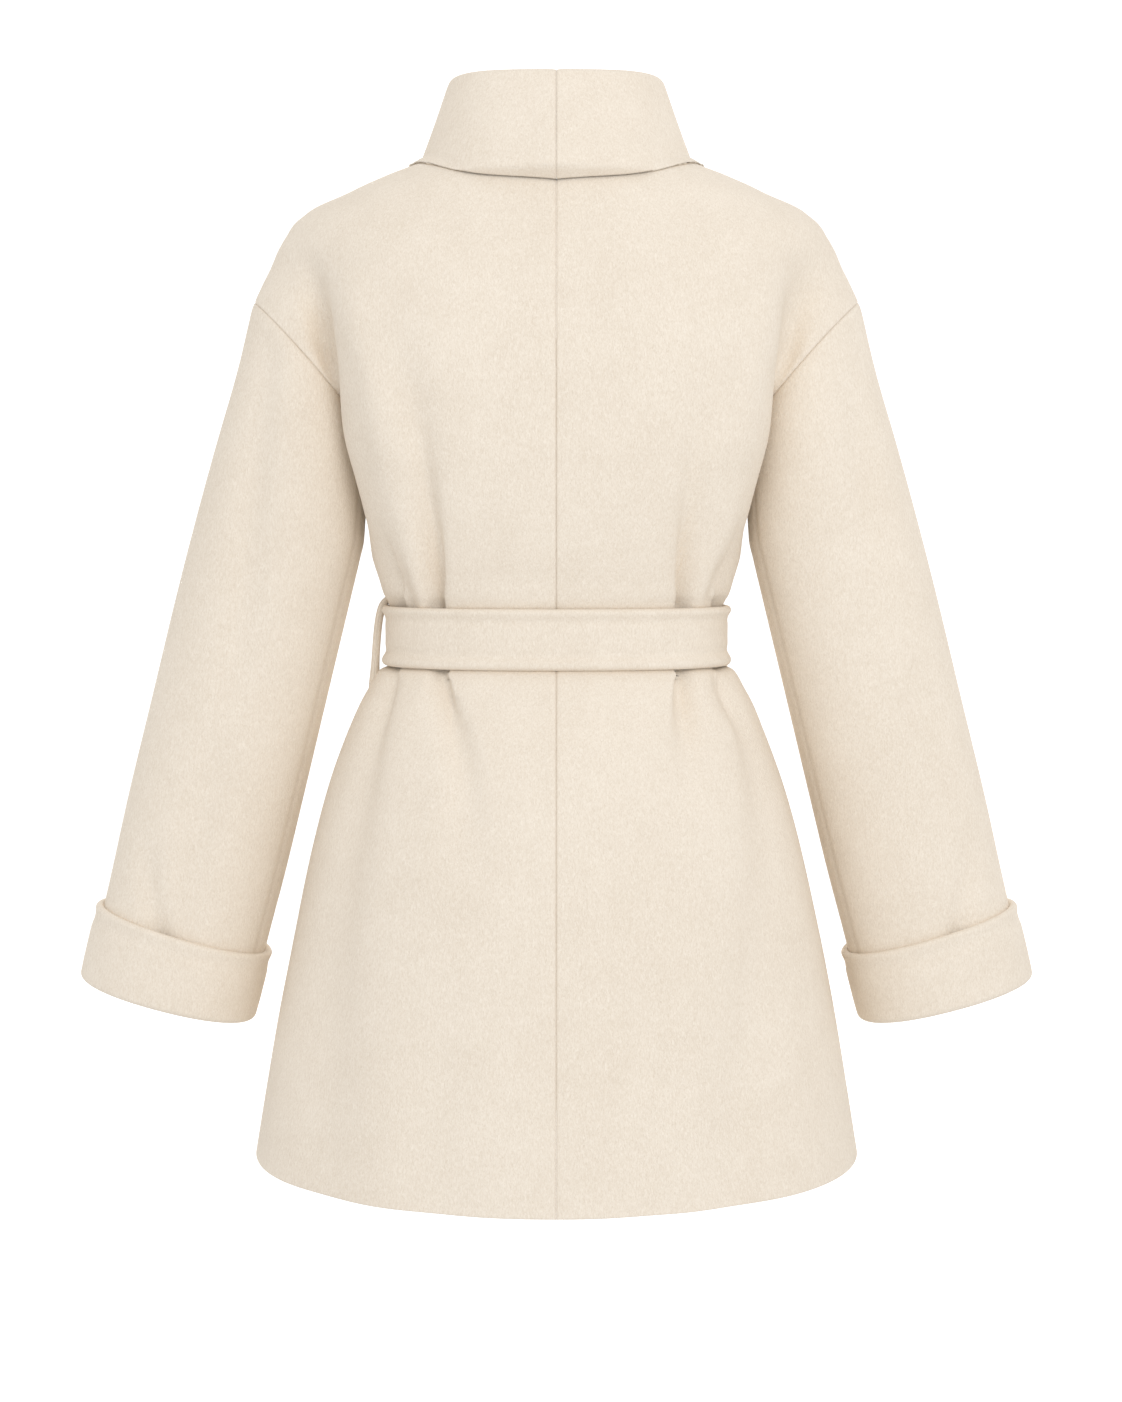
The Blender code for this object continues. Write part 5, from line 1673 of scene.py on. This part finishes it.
@dataclass
class Belt(CoatPart):
    """The belt round the waist, its knot, its two hanging ends and its two loops."""

    height: float = 47.2
    height_at_knot: float = 31.0
    cloth_at_knot: float = 8.0
    layer: float = 2.1
    roll: float = 1.9
    steps: int = 420
    spacing: float = 1.6
    band_start: float = 3.0
    near_knot: tuple[float, float] = (16.0, 62.0)
    low_rolls: tuple[Roll, Roll] = (Roll(4.2, 3.8, 1.7), Roll(11.5, 3.2, -0.9))
    high_rolls: tuple[Roll, Roll] = (Roll(3.4, 3.4, 1.5), Roll(10.0, 4.0, -0.7))
    ripple: float = 0.9
    ripple_turns: float = 26.0
    onto_front: tuple[float, float] = (-144.0, -92.0)
    off_front: tuple[float, float] = (8.0, 34.0)
    knot_half_width: float = 21.0
    knot_half_height: float = 21.0
    knot_depth: float = 13.6
    knot_stand_off: float = 2.5
    knot_angles: tuple[float, float] = (-60.0, 76.0)
    knot_points: tuple[int, int] = (46, 72)
    knot_power: float = 0.7
    knot_spread: float = 0.10
    knot_fold: float = 0.54
    knot_sink: float = 0.4
    end_width: float = 46.0
    end_spacing: tuple[float, float] = (3.2, 2.4)
    end_opens: tuple[float, float] = (4.0, 75.0)
    end_pinch: float = 0.8
    end_pinch_length: float = 60.0
    end_pinch_turns: float = 24.0
    end_cup: float = 0.9
    end_rolls: tuple[Roll, Roll] = (Roll(3.0, 2.4, 0.4), Roll(7.0, 1.4, -0.35))
    ends: tuple[BeltEnd, BeltEnd] = (BeltEnd(Half.LEFT, 352.0, 30.0, 8.2),
                                     BeltEnd(Half.RIGHT, 330.0, 24.0, 2.6))
    loop_width: float = 9.0
    loop_points: int = 90
    loop_left_y: float = -4.0
    loop_right_y: float = -52.0
    loop_sunk: float = -4.5
    loop_spread: float = 0.4
    loop_spreads: tuple[float, float] = (0.55, 0.9)
    loop_layers: float = 2.2
    loop_path: Table = rows_of(x=[129, 135.5, 139.6, 142.4, 144, 145, 145.6, 146.2, 146.6, 146.0],
                               z=[-351, -354, -359, -370, -384, -397, -408, -418, -428, -437])

    def build(self) -> None:
        """Make and dress every piece of the belt."""
        self.build_band()
        self.build_knot()
        for end in self.ends:
            self.build_end(end)
            self.build_loop(end.half)

    def layers(self, x: Array, y: Array) -> Array:
        """How thick the right front makes the coat at the belt, with x to the wearer's left."""
        form = self.form
        onto = ease(*self.onto_front, x) * (1 - ease(*self.off_front, x - form.overlap))
        return form.over_skirt * onto * (y < 0)

    def facing(self, net: Array, way: Array) -> Array:
        """The net's normals, turned so that they point this way."""
        normals = net_normals(net)
        return normals if (way * normals).sum() > 0 else -normals

    def from_middle(self, net: Array) -> Array:
        """The level way from the net's middle to each of its points."""
        return (net - net.mean(axis=(0, 1))) * [1, 1, 0]

    def side_run(self, net: Array) -> Array:
        """How far each point lies from the nearer side of its strip."""
        runs = edge_runs(net)
        return np.minimum(runs["first"], runs["last"])

    def build_band(self) -> None:
        """The band, a flat tube with rolled edges, from one side of the knot round the back to the other."""
        form = self.form
        start = math.asin(self.band_start / float(form.half_width(LEVEL.belt)))
        angle = np.linspace(start, 2 * math.pi - start, self.steps + 1)
        x = form.half_width(LEVEL.belt) * np.sin(angle)
        y = -form.front(LEVEL.belt) * np.cos(angle)
        at_knot = np.where(y < 0, 1 - ease(*self.near_knot, np.abs(x)), 0)
        height = self.height + (self.height_at_knot - self.height) * at_knot
        cloth = CLOTH.belt + (self.cloth_at_knot - CLOTH.belt) * at_knot
        across = fine_steps(self.height, self.spacing) / self.height - 0.5
        net = np.stack([x[:, None] + 0 * across, y[:, None] + 0 * across,
                        LEVEL.belt + height[:, None] * across], axis=2)
        bulge = self.roll * (2 * across) ** 2

        def belt_field(p: Array) -> Array:
            """How far p lies outside the middle of the belt's cloth."""
            level = np.stack([p[..., 0], p[..., 1], np.full_like(p[..., 2], LEVEL.belt)], axis=-1)
            thick = cloth[:, None] / 2
            return form.gap(level) - self.layers(p[..., 0], p[..., 1]) - self.layer - thick - bulge

        net = form.settle(belt_field, net, climb=0, rounds=6)
        run = self.height * (across + 0.5)
        proud = (sum(roll.at(run) for roll in self.low_rolls)
                 + sum(roll.at(self.height - run) for roll in self.high_rolls))
        ripple = self.ripple * at_knot[:, None] * np.sin(across * self.ripple_turns)
        half = cloth[:, None] / 2
        outer, inner = two_faces(net, self.facing(net, self.from_middle(net)), half,
                                 rounded(self.side_run(net), half), proud + ripple)
        made = Wall("belt_cloth", outer, inner).build()
        self.dress(made, "belt_cloth", "belt")
        self.declare(made, net, "laid", ("back_left_cloth", "back_right_cloth"))

    def build_knot(self) -> None:
        """The band that wraps the crossing."""
        columns, rows = self.knot_points
        angle = np.radians(np.linspace(*self.knot_angles, rows))[None, :]
        c, s = np.cos(angle), np.sin(angle)
        share = np.linspace(-1, 1, columns)[:, None]
        back = float(self.form.front(LEVEL.belt)) + self.form.over_skirt + self.knot_stand_off
        y = -back - self.knot_depth * (1.08 - 0.16 * share * share) * c ** self.knot_power
        spread = 1 + self.knot_spread * share * share
        z = LEVEL.belt + self.knot_half_height * spread * np.sign(s) * np.abs(s) ** self.knot_power
        x = share * self.knot_half_width * (1 - self.knot_spread * c)
        net = np.stack([x, y, z], axis=-1)
        runs = edge_runs(net)
        half = CLOTH.knot / 2
        bend = np.linspace(-1, 1, rows)[None, :]
        folds = self.knot_fold * np.sin(share * 7.0 + bend * 1.1) * np.cos(bend * 1.2) * (1 - share ** 4)
        outer, inner = two_faces(net, self.facing(net, np.array([0, -1.0, 0])), half,
                                 rounded(np.minimum(runs["low"], runs["high"]), half),
                                 folds - self.knot_sink)
        made = Wall("belt_knot_cloth", outer, inner).build()
        self.dress(made, "belt_cloth", "belt_knot")
        self.declare(made, net, "folded", ("belt_cloth",))

    def build_end(self, end: BeltEnd) -> None:
        """A hanging end of the belt.

        Args:
            end: which one, and its measures.
        """
        name = f"belt_end_{end.half.name.lower()}"
        row_spacing, column_spacing = self.end_spacing
        down = fine_steps(end.length, row_spacing)
        width = self.end_width * (0.5 + 0.5 * ease(*self.end_opens, down))
        across = fine_steps(self.end_width, column_spacing) / self.end_width - 0.5
        top = LEVEL.belt - self.knot_half_height - 2.2
        z = (top - down * 0.985)[:, None] + 0 * across
        middle = end.half.value * (2 + end.drift * (down / end.length) ** 1.15)
        x = middle[:, None] + across * width[:, None]
        net = np.stack([x, -self.form.front(z), z], axis=2)
        cup = self.end_cup * (2 * across) ** 2

        def end_field(p: Array) -> Array:
            """How far p lies outside the middle of this end's cloth."""
            return self.form.gap(p) - self.form.over_skirt - end.lift - cup

        net = self.form.settle(end_field, net, climb=0, rounds=6)
        fade = self.end_pinch * (1 - ease(0, self.end_pinch_length, down))
        pinch = fade[:, None] * np.sin(across * self.end_pinch_turns)
        run = self.side_run(net)
        half = CLOTH.belt_end / 2
        outer, inner = two_faces(net, self.facing(net, self.from_middle(net)), half, rounded(run, half),
                                 sum(roll.at(run) for roll in self.end_rolls) + pinch)
        close = (rounded(edge_runs(net)["high"], half) / half)[..., None] / 2
        outer, inner = outer * (1 - close) + inner * close, inner * (1 - close) + outer * close
        made = Wall(f"{name}_cloth", outer, inner).build()
        self.dress(made, "belt_cloth", name)
        self.declare(made, net, "hung", ("belt_knot_cloth",))

    def build_loop(self, side: Half) -> None:
        """A belt loop, a strip that leaves the coat above the belt and meets it again below.

        Args:
            side: the half of the coat that it is on.
        """
        form = self.form
        name = f"belt_loop_{side.name.lower()}"
        knots = np.linspace(0, 1, len(self.loop_path["z"]))
        steps = np.linspace(0, 1, self.loop_points)
        z, x = (softened(curve(knots, self.loop_path[key])(steps), 4, 0) for key in ("z", "x"))
        y = self.loop_left_y if side is Half.LEFT else self.loop_right_y
        foot = np.stack([form.half_width(z), np.full_like(z, y), z], axis=1)
        foot = form.settle(form.gap, foot, climb=0, rounds=6)
        away = unit(form.slope(form.gap, foot) * [1, 1, 0])
        middle = foot + away * (x - form.half_width(z))[:, None]
        sideways = np.stack([-away[:, 1], away[:, 0], 0 * z], axis=1)
        across = fine_steps(self.loop_width, 1.0) / self.loop_width - 0.5
        net = middle[:, None] + across[None, :, None] * self.loop_width * sideways[:, None]
        net = form.held(form.gap, net, self.loop_sunk, math.inf)
        net[..., 0] *= side.value
        half = (CLOTH.loop / 2 * (1 + self.loop_spread * ease(*self.loop_spreads, steps)))[:, None]
        outer, inner = two_faces(net, self.facing(net, np.array([side.value, 0, 0])), half,
                                 rounded(self.side_run(net), half))
        made = Wall(f"{name}_cloth", outer, inner).build()
        self.dress(made, "belt_cloth", name)
        self.declare(made, net, "stretched", ("back_left_cloth",), layers=self.loop_layers)


# ---------------------------------------------------------------- buttons


@dataclass
class Buttons(CoatPart):
    """Four dished buttons in two columns, sewn on with crossed thread."""

    thread: bpy.types.Material
    radius: float = 12.5
    thickness: float = 4.2
    column_x: float = 58.0
    row_z: tuple[float, float] = (-323.0, -455.0)
    hole_radius: float = 1.2
    hole_spread: float = 2.6

    rim: float = 2.4
    slope: float = 1.0
    dish: float = 1.0
    edge_radius: float = 0.7
    edge_angle: float = math.radians(25)
    smooth_angle: float = math.radians(35)
    thread_radius: float = 0.3
    thread_apart: float = 0.28

    def build(self) -> None:
        """Make and dress the four buttons and their threads."""
        places = [(x, z) for z in self.row_z for x in (self.column_x, -self.column_x)]
        for number, (x, z) in enumerate(places, start=1):
            seat, normal = self.seat(x, z)
            made = self.model(f"button_{number}_disc", seat, normal)
            self.dress(made, "buttons", f"button_{number}")
            threads = self.sew(f"button_{number}_thread", seat, normal)
            threads.data.materials.append(self.thread)
            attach(threads, "root")

    def seat(self, x: float, z: float) -> tuple[Array, Array]:
        """Where a button lies, and which way it faces."""
        form = self.form
        own_side = np.array([[-x, -float(form.front(z)), z]], float)
        face = form.settle(form.over_field, own_side, climb=0)[0]
        normal = unit(form.slope(form.over_field, face[None])[0])
        flip = np.array([-1, 1, 1])
        return (face + normal * CLOTH.layer) * flip, normal * flip

    def model(self, name: str, seat: Array, normal: Array) -> bpy.types.Object:
        """Model a button: a disc, inset and sunk, with rounded edges and four holes.

        Args:
            name: the new object's name.
            seat: the middle of its back.
            normal: the way that it faces.

        Returns:
            The button, placed.
        """
        bpy.ops.object.select_all(action="DESELECT")
        bpy.ops.mesh.primitive_cylinder_add(vertices=72, radius=self.radius * MM,
                                            depth=self.thickness * MM,
                                            location=(0, 0, self.thickness / 2 * MM))
        made = bpy.context.object
        made.name = name
        made.data.name = name
        bpy.ops.object.mode_set(mode="EDIT")
        bpy.ops.mesh.select_all(action="DESELECT")
        bpy.ops.mesh.select_mode(type="FACE")
        bpy.ops.object.mode_set(mode="OBJECT")
        for face in made.data.polygons:
            face.select = face.normal.z > 0.9
        bpy.ops.object.mode_set(mode="EDIT")
        bpy.ops.mesh.inset(thickness=self.rim * MM)
        bpy.ops.mesh.inset(thickness=self.slope * MM)
        bpy.ops.transform.translate(value=(0, 0, -self.dish * MM))
        bpy.ops.object.mode_set(mode="OBJECT")
        bevel = made.modifiers.new("rounded", "BEVEL")
        bevel.width = self.edge_radius * MM
        bevel.segments = 4
        bevel.limit_method = "ANGLE"
        bevel.angle_limit = self.edge_angle
        bpy.ops.object.modifier_apply(modifier=bevel.name)
        for i in range(4):
            self._drill(made, math.radians(45 + 90 * i))
        made.data.materials.clear()
        self._place(made, seat, normal)
        bpy.ops.object.shade_smooth_by_angle(angle=self.smooth_angle)
        return made

    def _drill(self, made: bpy.types.Object, angle: float) -> None:
        """Cut one hole through a button."""
        spread = self.hole_spread * MM
        bpy.ops.object.select_all(action="DESELECT")
        bpy.ops.mesh.primitive_cylinder_add(vertices=20, radius=self.hole_radius * MM, depth=20 * MM,
                                            location=(spread * math.cos(angle), spread * math.sin(angle), 0))
        hole = bpy.context.object
        cut = made.modifiers.new("hole", "BOOLEAN")
        cut.operation = "DIFFERENCE"
        cut.object = hole
        bpy.ops.object.select_all(action="DESELECT")
        made.select_set(True)
        bpy.context.view_layer.objects.active = made
        bpy.ops.object.modifier_apply(modifier=cut.name)
        bpy.data.objects.remove(hole, do_unlink=True)

    def _place(self, made: bpy.types.Object, seat: Array, normal: Array) -> None:
        """Turn and move a piece to its seat, with its place in its mesh."""
        side = unit(np.cross([0, 0, 1.0], normal))
        up = np.cross(normal, side)
        turn = np.stack([side, up, normal], axis=1)
        points = np.empty(len(made.data.vertices) * 3)
        made.data.vertices.foreach_get("co", points)
        points = points.reshape(-1, 3) @ turn.T + seat * MM
        made.data.vertices.foreach_set("co", points.reshape(-1))
        made.data.update()

    def sew(self, name: str, seat: Array, normal: Array) -> bpy.types.Object:
        """Lay two threads across the four holes.

        Args:
            name: the new object's name.
            seat: the middle of the button's back.
            normal: the way that the button faces.

        Returns:
            The threads, placed.
        """
        reach = self.hole_spread * MM * math.cos(math.radians(45))
        bpy.ops.object.select_all(action="DESELECT")
        parts = []
        for x in (-reach, reach):
            for offset in (-self.thread_apart * MM, self.thread_apart * MM):
                bpy.ops.mesh.primitive_torus_add(major_radius=reach, minor_radius=self.thread_radius * MM,
                                                 major_segments=28, minor_segments=8,
                                                 rotation=(0, math.pi / 2, 0),
                                                 location=(x + offset, 0, (self.thickness - self.dish) * MM))
                parts.append(bpy.context.object)
        for part in parts:
            part.select_set(True)
        bpy.context.view_layer.objects.active = parts[0]
        bpy.ops.object.transform_apply(location=True, rotation=True, scale=True)
        bpy.ops.object.join()
        made = bpy.context.object
        made.name = name
        made.data.name = name
        self._place(made, seat, normal)
        bpy.ops.object.shade_smooth()
        return made


# ---------------------------------------------------------------- studio


@dataclass(frozen=True)
class SoftLight:
    """A large square light: where it stands, its size in metres and its power in watts."""

    name: str
    place: tuple[float, float, float]
    size: float
    power: float


@dataclass
class Studio:
    """The pale floor and backdrop, the soft lights and the camera."""

    floor_z: float = -1.25
    floor_start: float = -0.6
    room: float = 9.0
    curve_radius: float = 2.2
    camera_place: tuple[float, float, float] = (-0.0036, 2.2, -0.286)
    camera_pitch: float = 3.87
    lens: float = 70.61
    sensor: float = 36.0
    wall_height: float = 7.0
    paper: Colour = (0.93, 0.93, 0.93)
    paper_glow: float = 0.35
    sky_strength: float = 0.85
    aim: tuple[float, float, float] = (0.0, 0.0, -0.4)
    lights: tuple[SoftLight, SoftLight] = (SoftLight("key", (-0.8, 3.1, 1.0), 1.3, 30.0),
                                           SoftLight("front", (0.0, -3.4, 0.6), 3.0, 26.0))

    def build(self) -> None:
        """Make the backdrop, the lights and the camera."""
        bpy.context.scene.view_settings.view_transform = "Standard"
        self.backdrop()
        for lamp in self.lights:
            self.light(lamp)
        self.sky()
        self.camera()

    def backdrop(self) -> None:
        """A floor that curves up into a wall, all one sheet, behind the coat as the camera sees it."""
        corner = -self.room * 0.5
        angles = np.linspace(0, math.pi / 2, 25)
        path = [(self.floor_start, self.floor_z)]
        path += [(corner - self.curve_radius * math.sin(a),
                  self.floor_z + self.curve_radius * (1 - math.cos(a))) for a in angles]
        path.append((corner - self.curve_radius, self.floor_z + self.wall_height))
        points = [(x, y, z) for y, z in path for x in (-self.room, self.room)]
        faces = [(2 * i, 2 * i + 1, 2 * i + 3, 2 * i + 2) for i in range(len(path) - 1)]
        mesh = bpy.data.meshes.new("backdrop")
        mesh.from_pydata(points, [], faces)
        made = bpy.data.objects.new("backdrop", mesh)
        bpy.context.scene.collection.objects.link(made)
        mesh.shade_smooth()
        paper = bpy.data.materials.new("pale_paper")
        paper.use_nodes = True
        shader = paper.node_tree.nodes["Principled BSDF"]
        shader.inputs["Base Color"].default_value = (*self.paper, 1.0)
        shader.inputs["Roughness"].default_value = 1.0
        shader.inputs["Specular IOR Level"].default_value = 0.0
        shader.inputs["Emission Color"].default_value = (1.0, 1.0, 1.0, 1.0)
        shader.inputs["Emission Strength"].default_value = self.paper_glow
        mesh.materials.append(paper)

    def light(self, lamp: SoftLight) -> None:
        """Add a light that points at the coat."""
        data = bpy.data.lights.new(lamp.name, "AREA")
        data.shape = "SQUARE"
        data.size = lamp.size
        data.energy = lamp.power
        made = bpy.data.objects.new(lamp.name, data)
        bpy.context.scene.collection.objects.link(made)
        made.location = lamp.place
        way = unit(np.array(self.aim) - np.array(lamp.place))
        made.rotation_euler = (math.acos(-way[2]), 0.0, math.atan2(way[1], way[0]) - math.pi / 2)

    def sky(self) -> None:
        """An even pale light from all round."""
        world = bpy.data.worlds.new("pale_sky")
        world.use_nodes = True
        shade = world.node_tree.nodes["Background"]
        shade.inputs["Color"].default_value = (1.0, 1.0, 1.0, 1.0)
        shade.inputs["Strength"].default_value = self.sky_strength
        bpy.context.scene.world = world

    def camera(self) -> None:
        """The camera, level with the coat's middle and a little above it."""
        data = bpy.data.cameras.new("camera")
        data.lens = self.lens
        data.sensor_width = self.sensor
        made = bpy.data.objects.new("camera", data)
        bpy.context.scene.collection.objects.link(made)
        made.location = self.camera_place
        made.rotation_euler = (math.radians(90 - self.camera_pitch), 0.0, math.pi)
        bpy.context.scene.camera = made


# ---------------------------------------------------------------- all of it


def main() -> None:
    """Build the studio and the coat, piece by piece."""
    logging.basicConfig(level=logging.INFO, format="%(message)s")
    bpy.context.view_layer.objects.active = None
    Studio().build()
    NapGroup().build()
    cream = WoolFinish().build()
    horn = HornFinish().build()
    thread = ThreadFinish().build()
    form = CoatForm()
    seams = Seams(form)
    sleeves = Sleeves(form, seams, cream)
    parts: list[CoatPart] = [
        BodyPanels(form, seams, cream),
        Collar(form, seams, cream),
        sleeves,
        Cuffs(form, seams, cream, sleeves),
        Belt(form, seams, cream),
        Buttons(form, seams, horn, thread),
    ]
    for part in parts:
        part.build()
        LOG.info("%s is dressed", type(part).__name__)


if __name__ == "__main__":
    main()
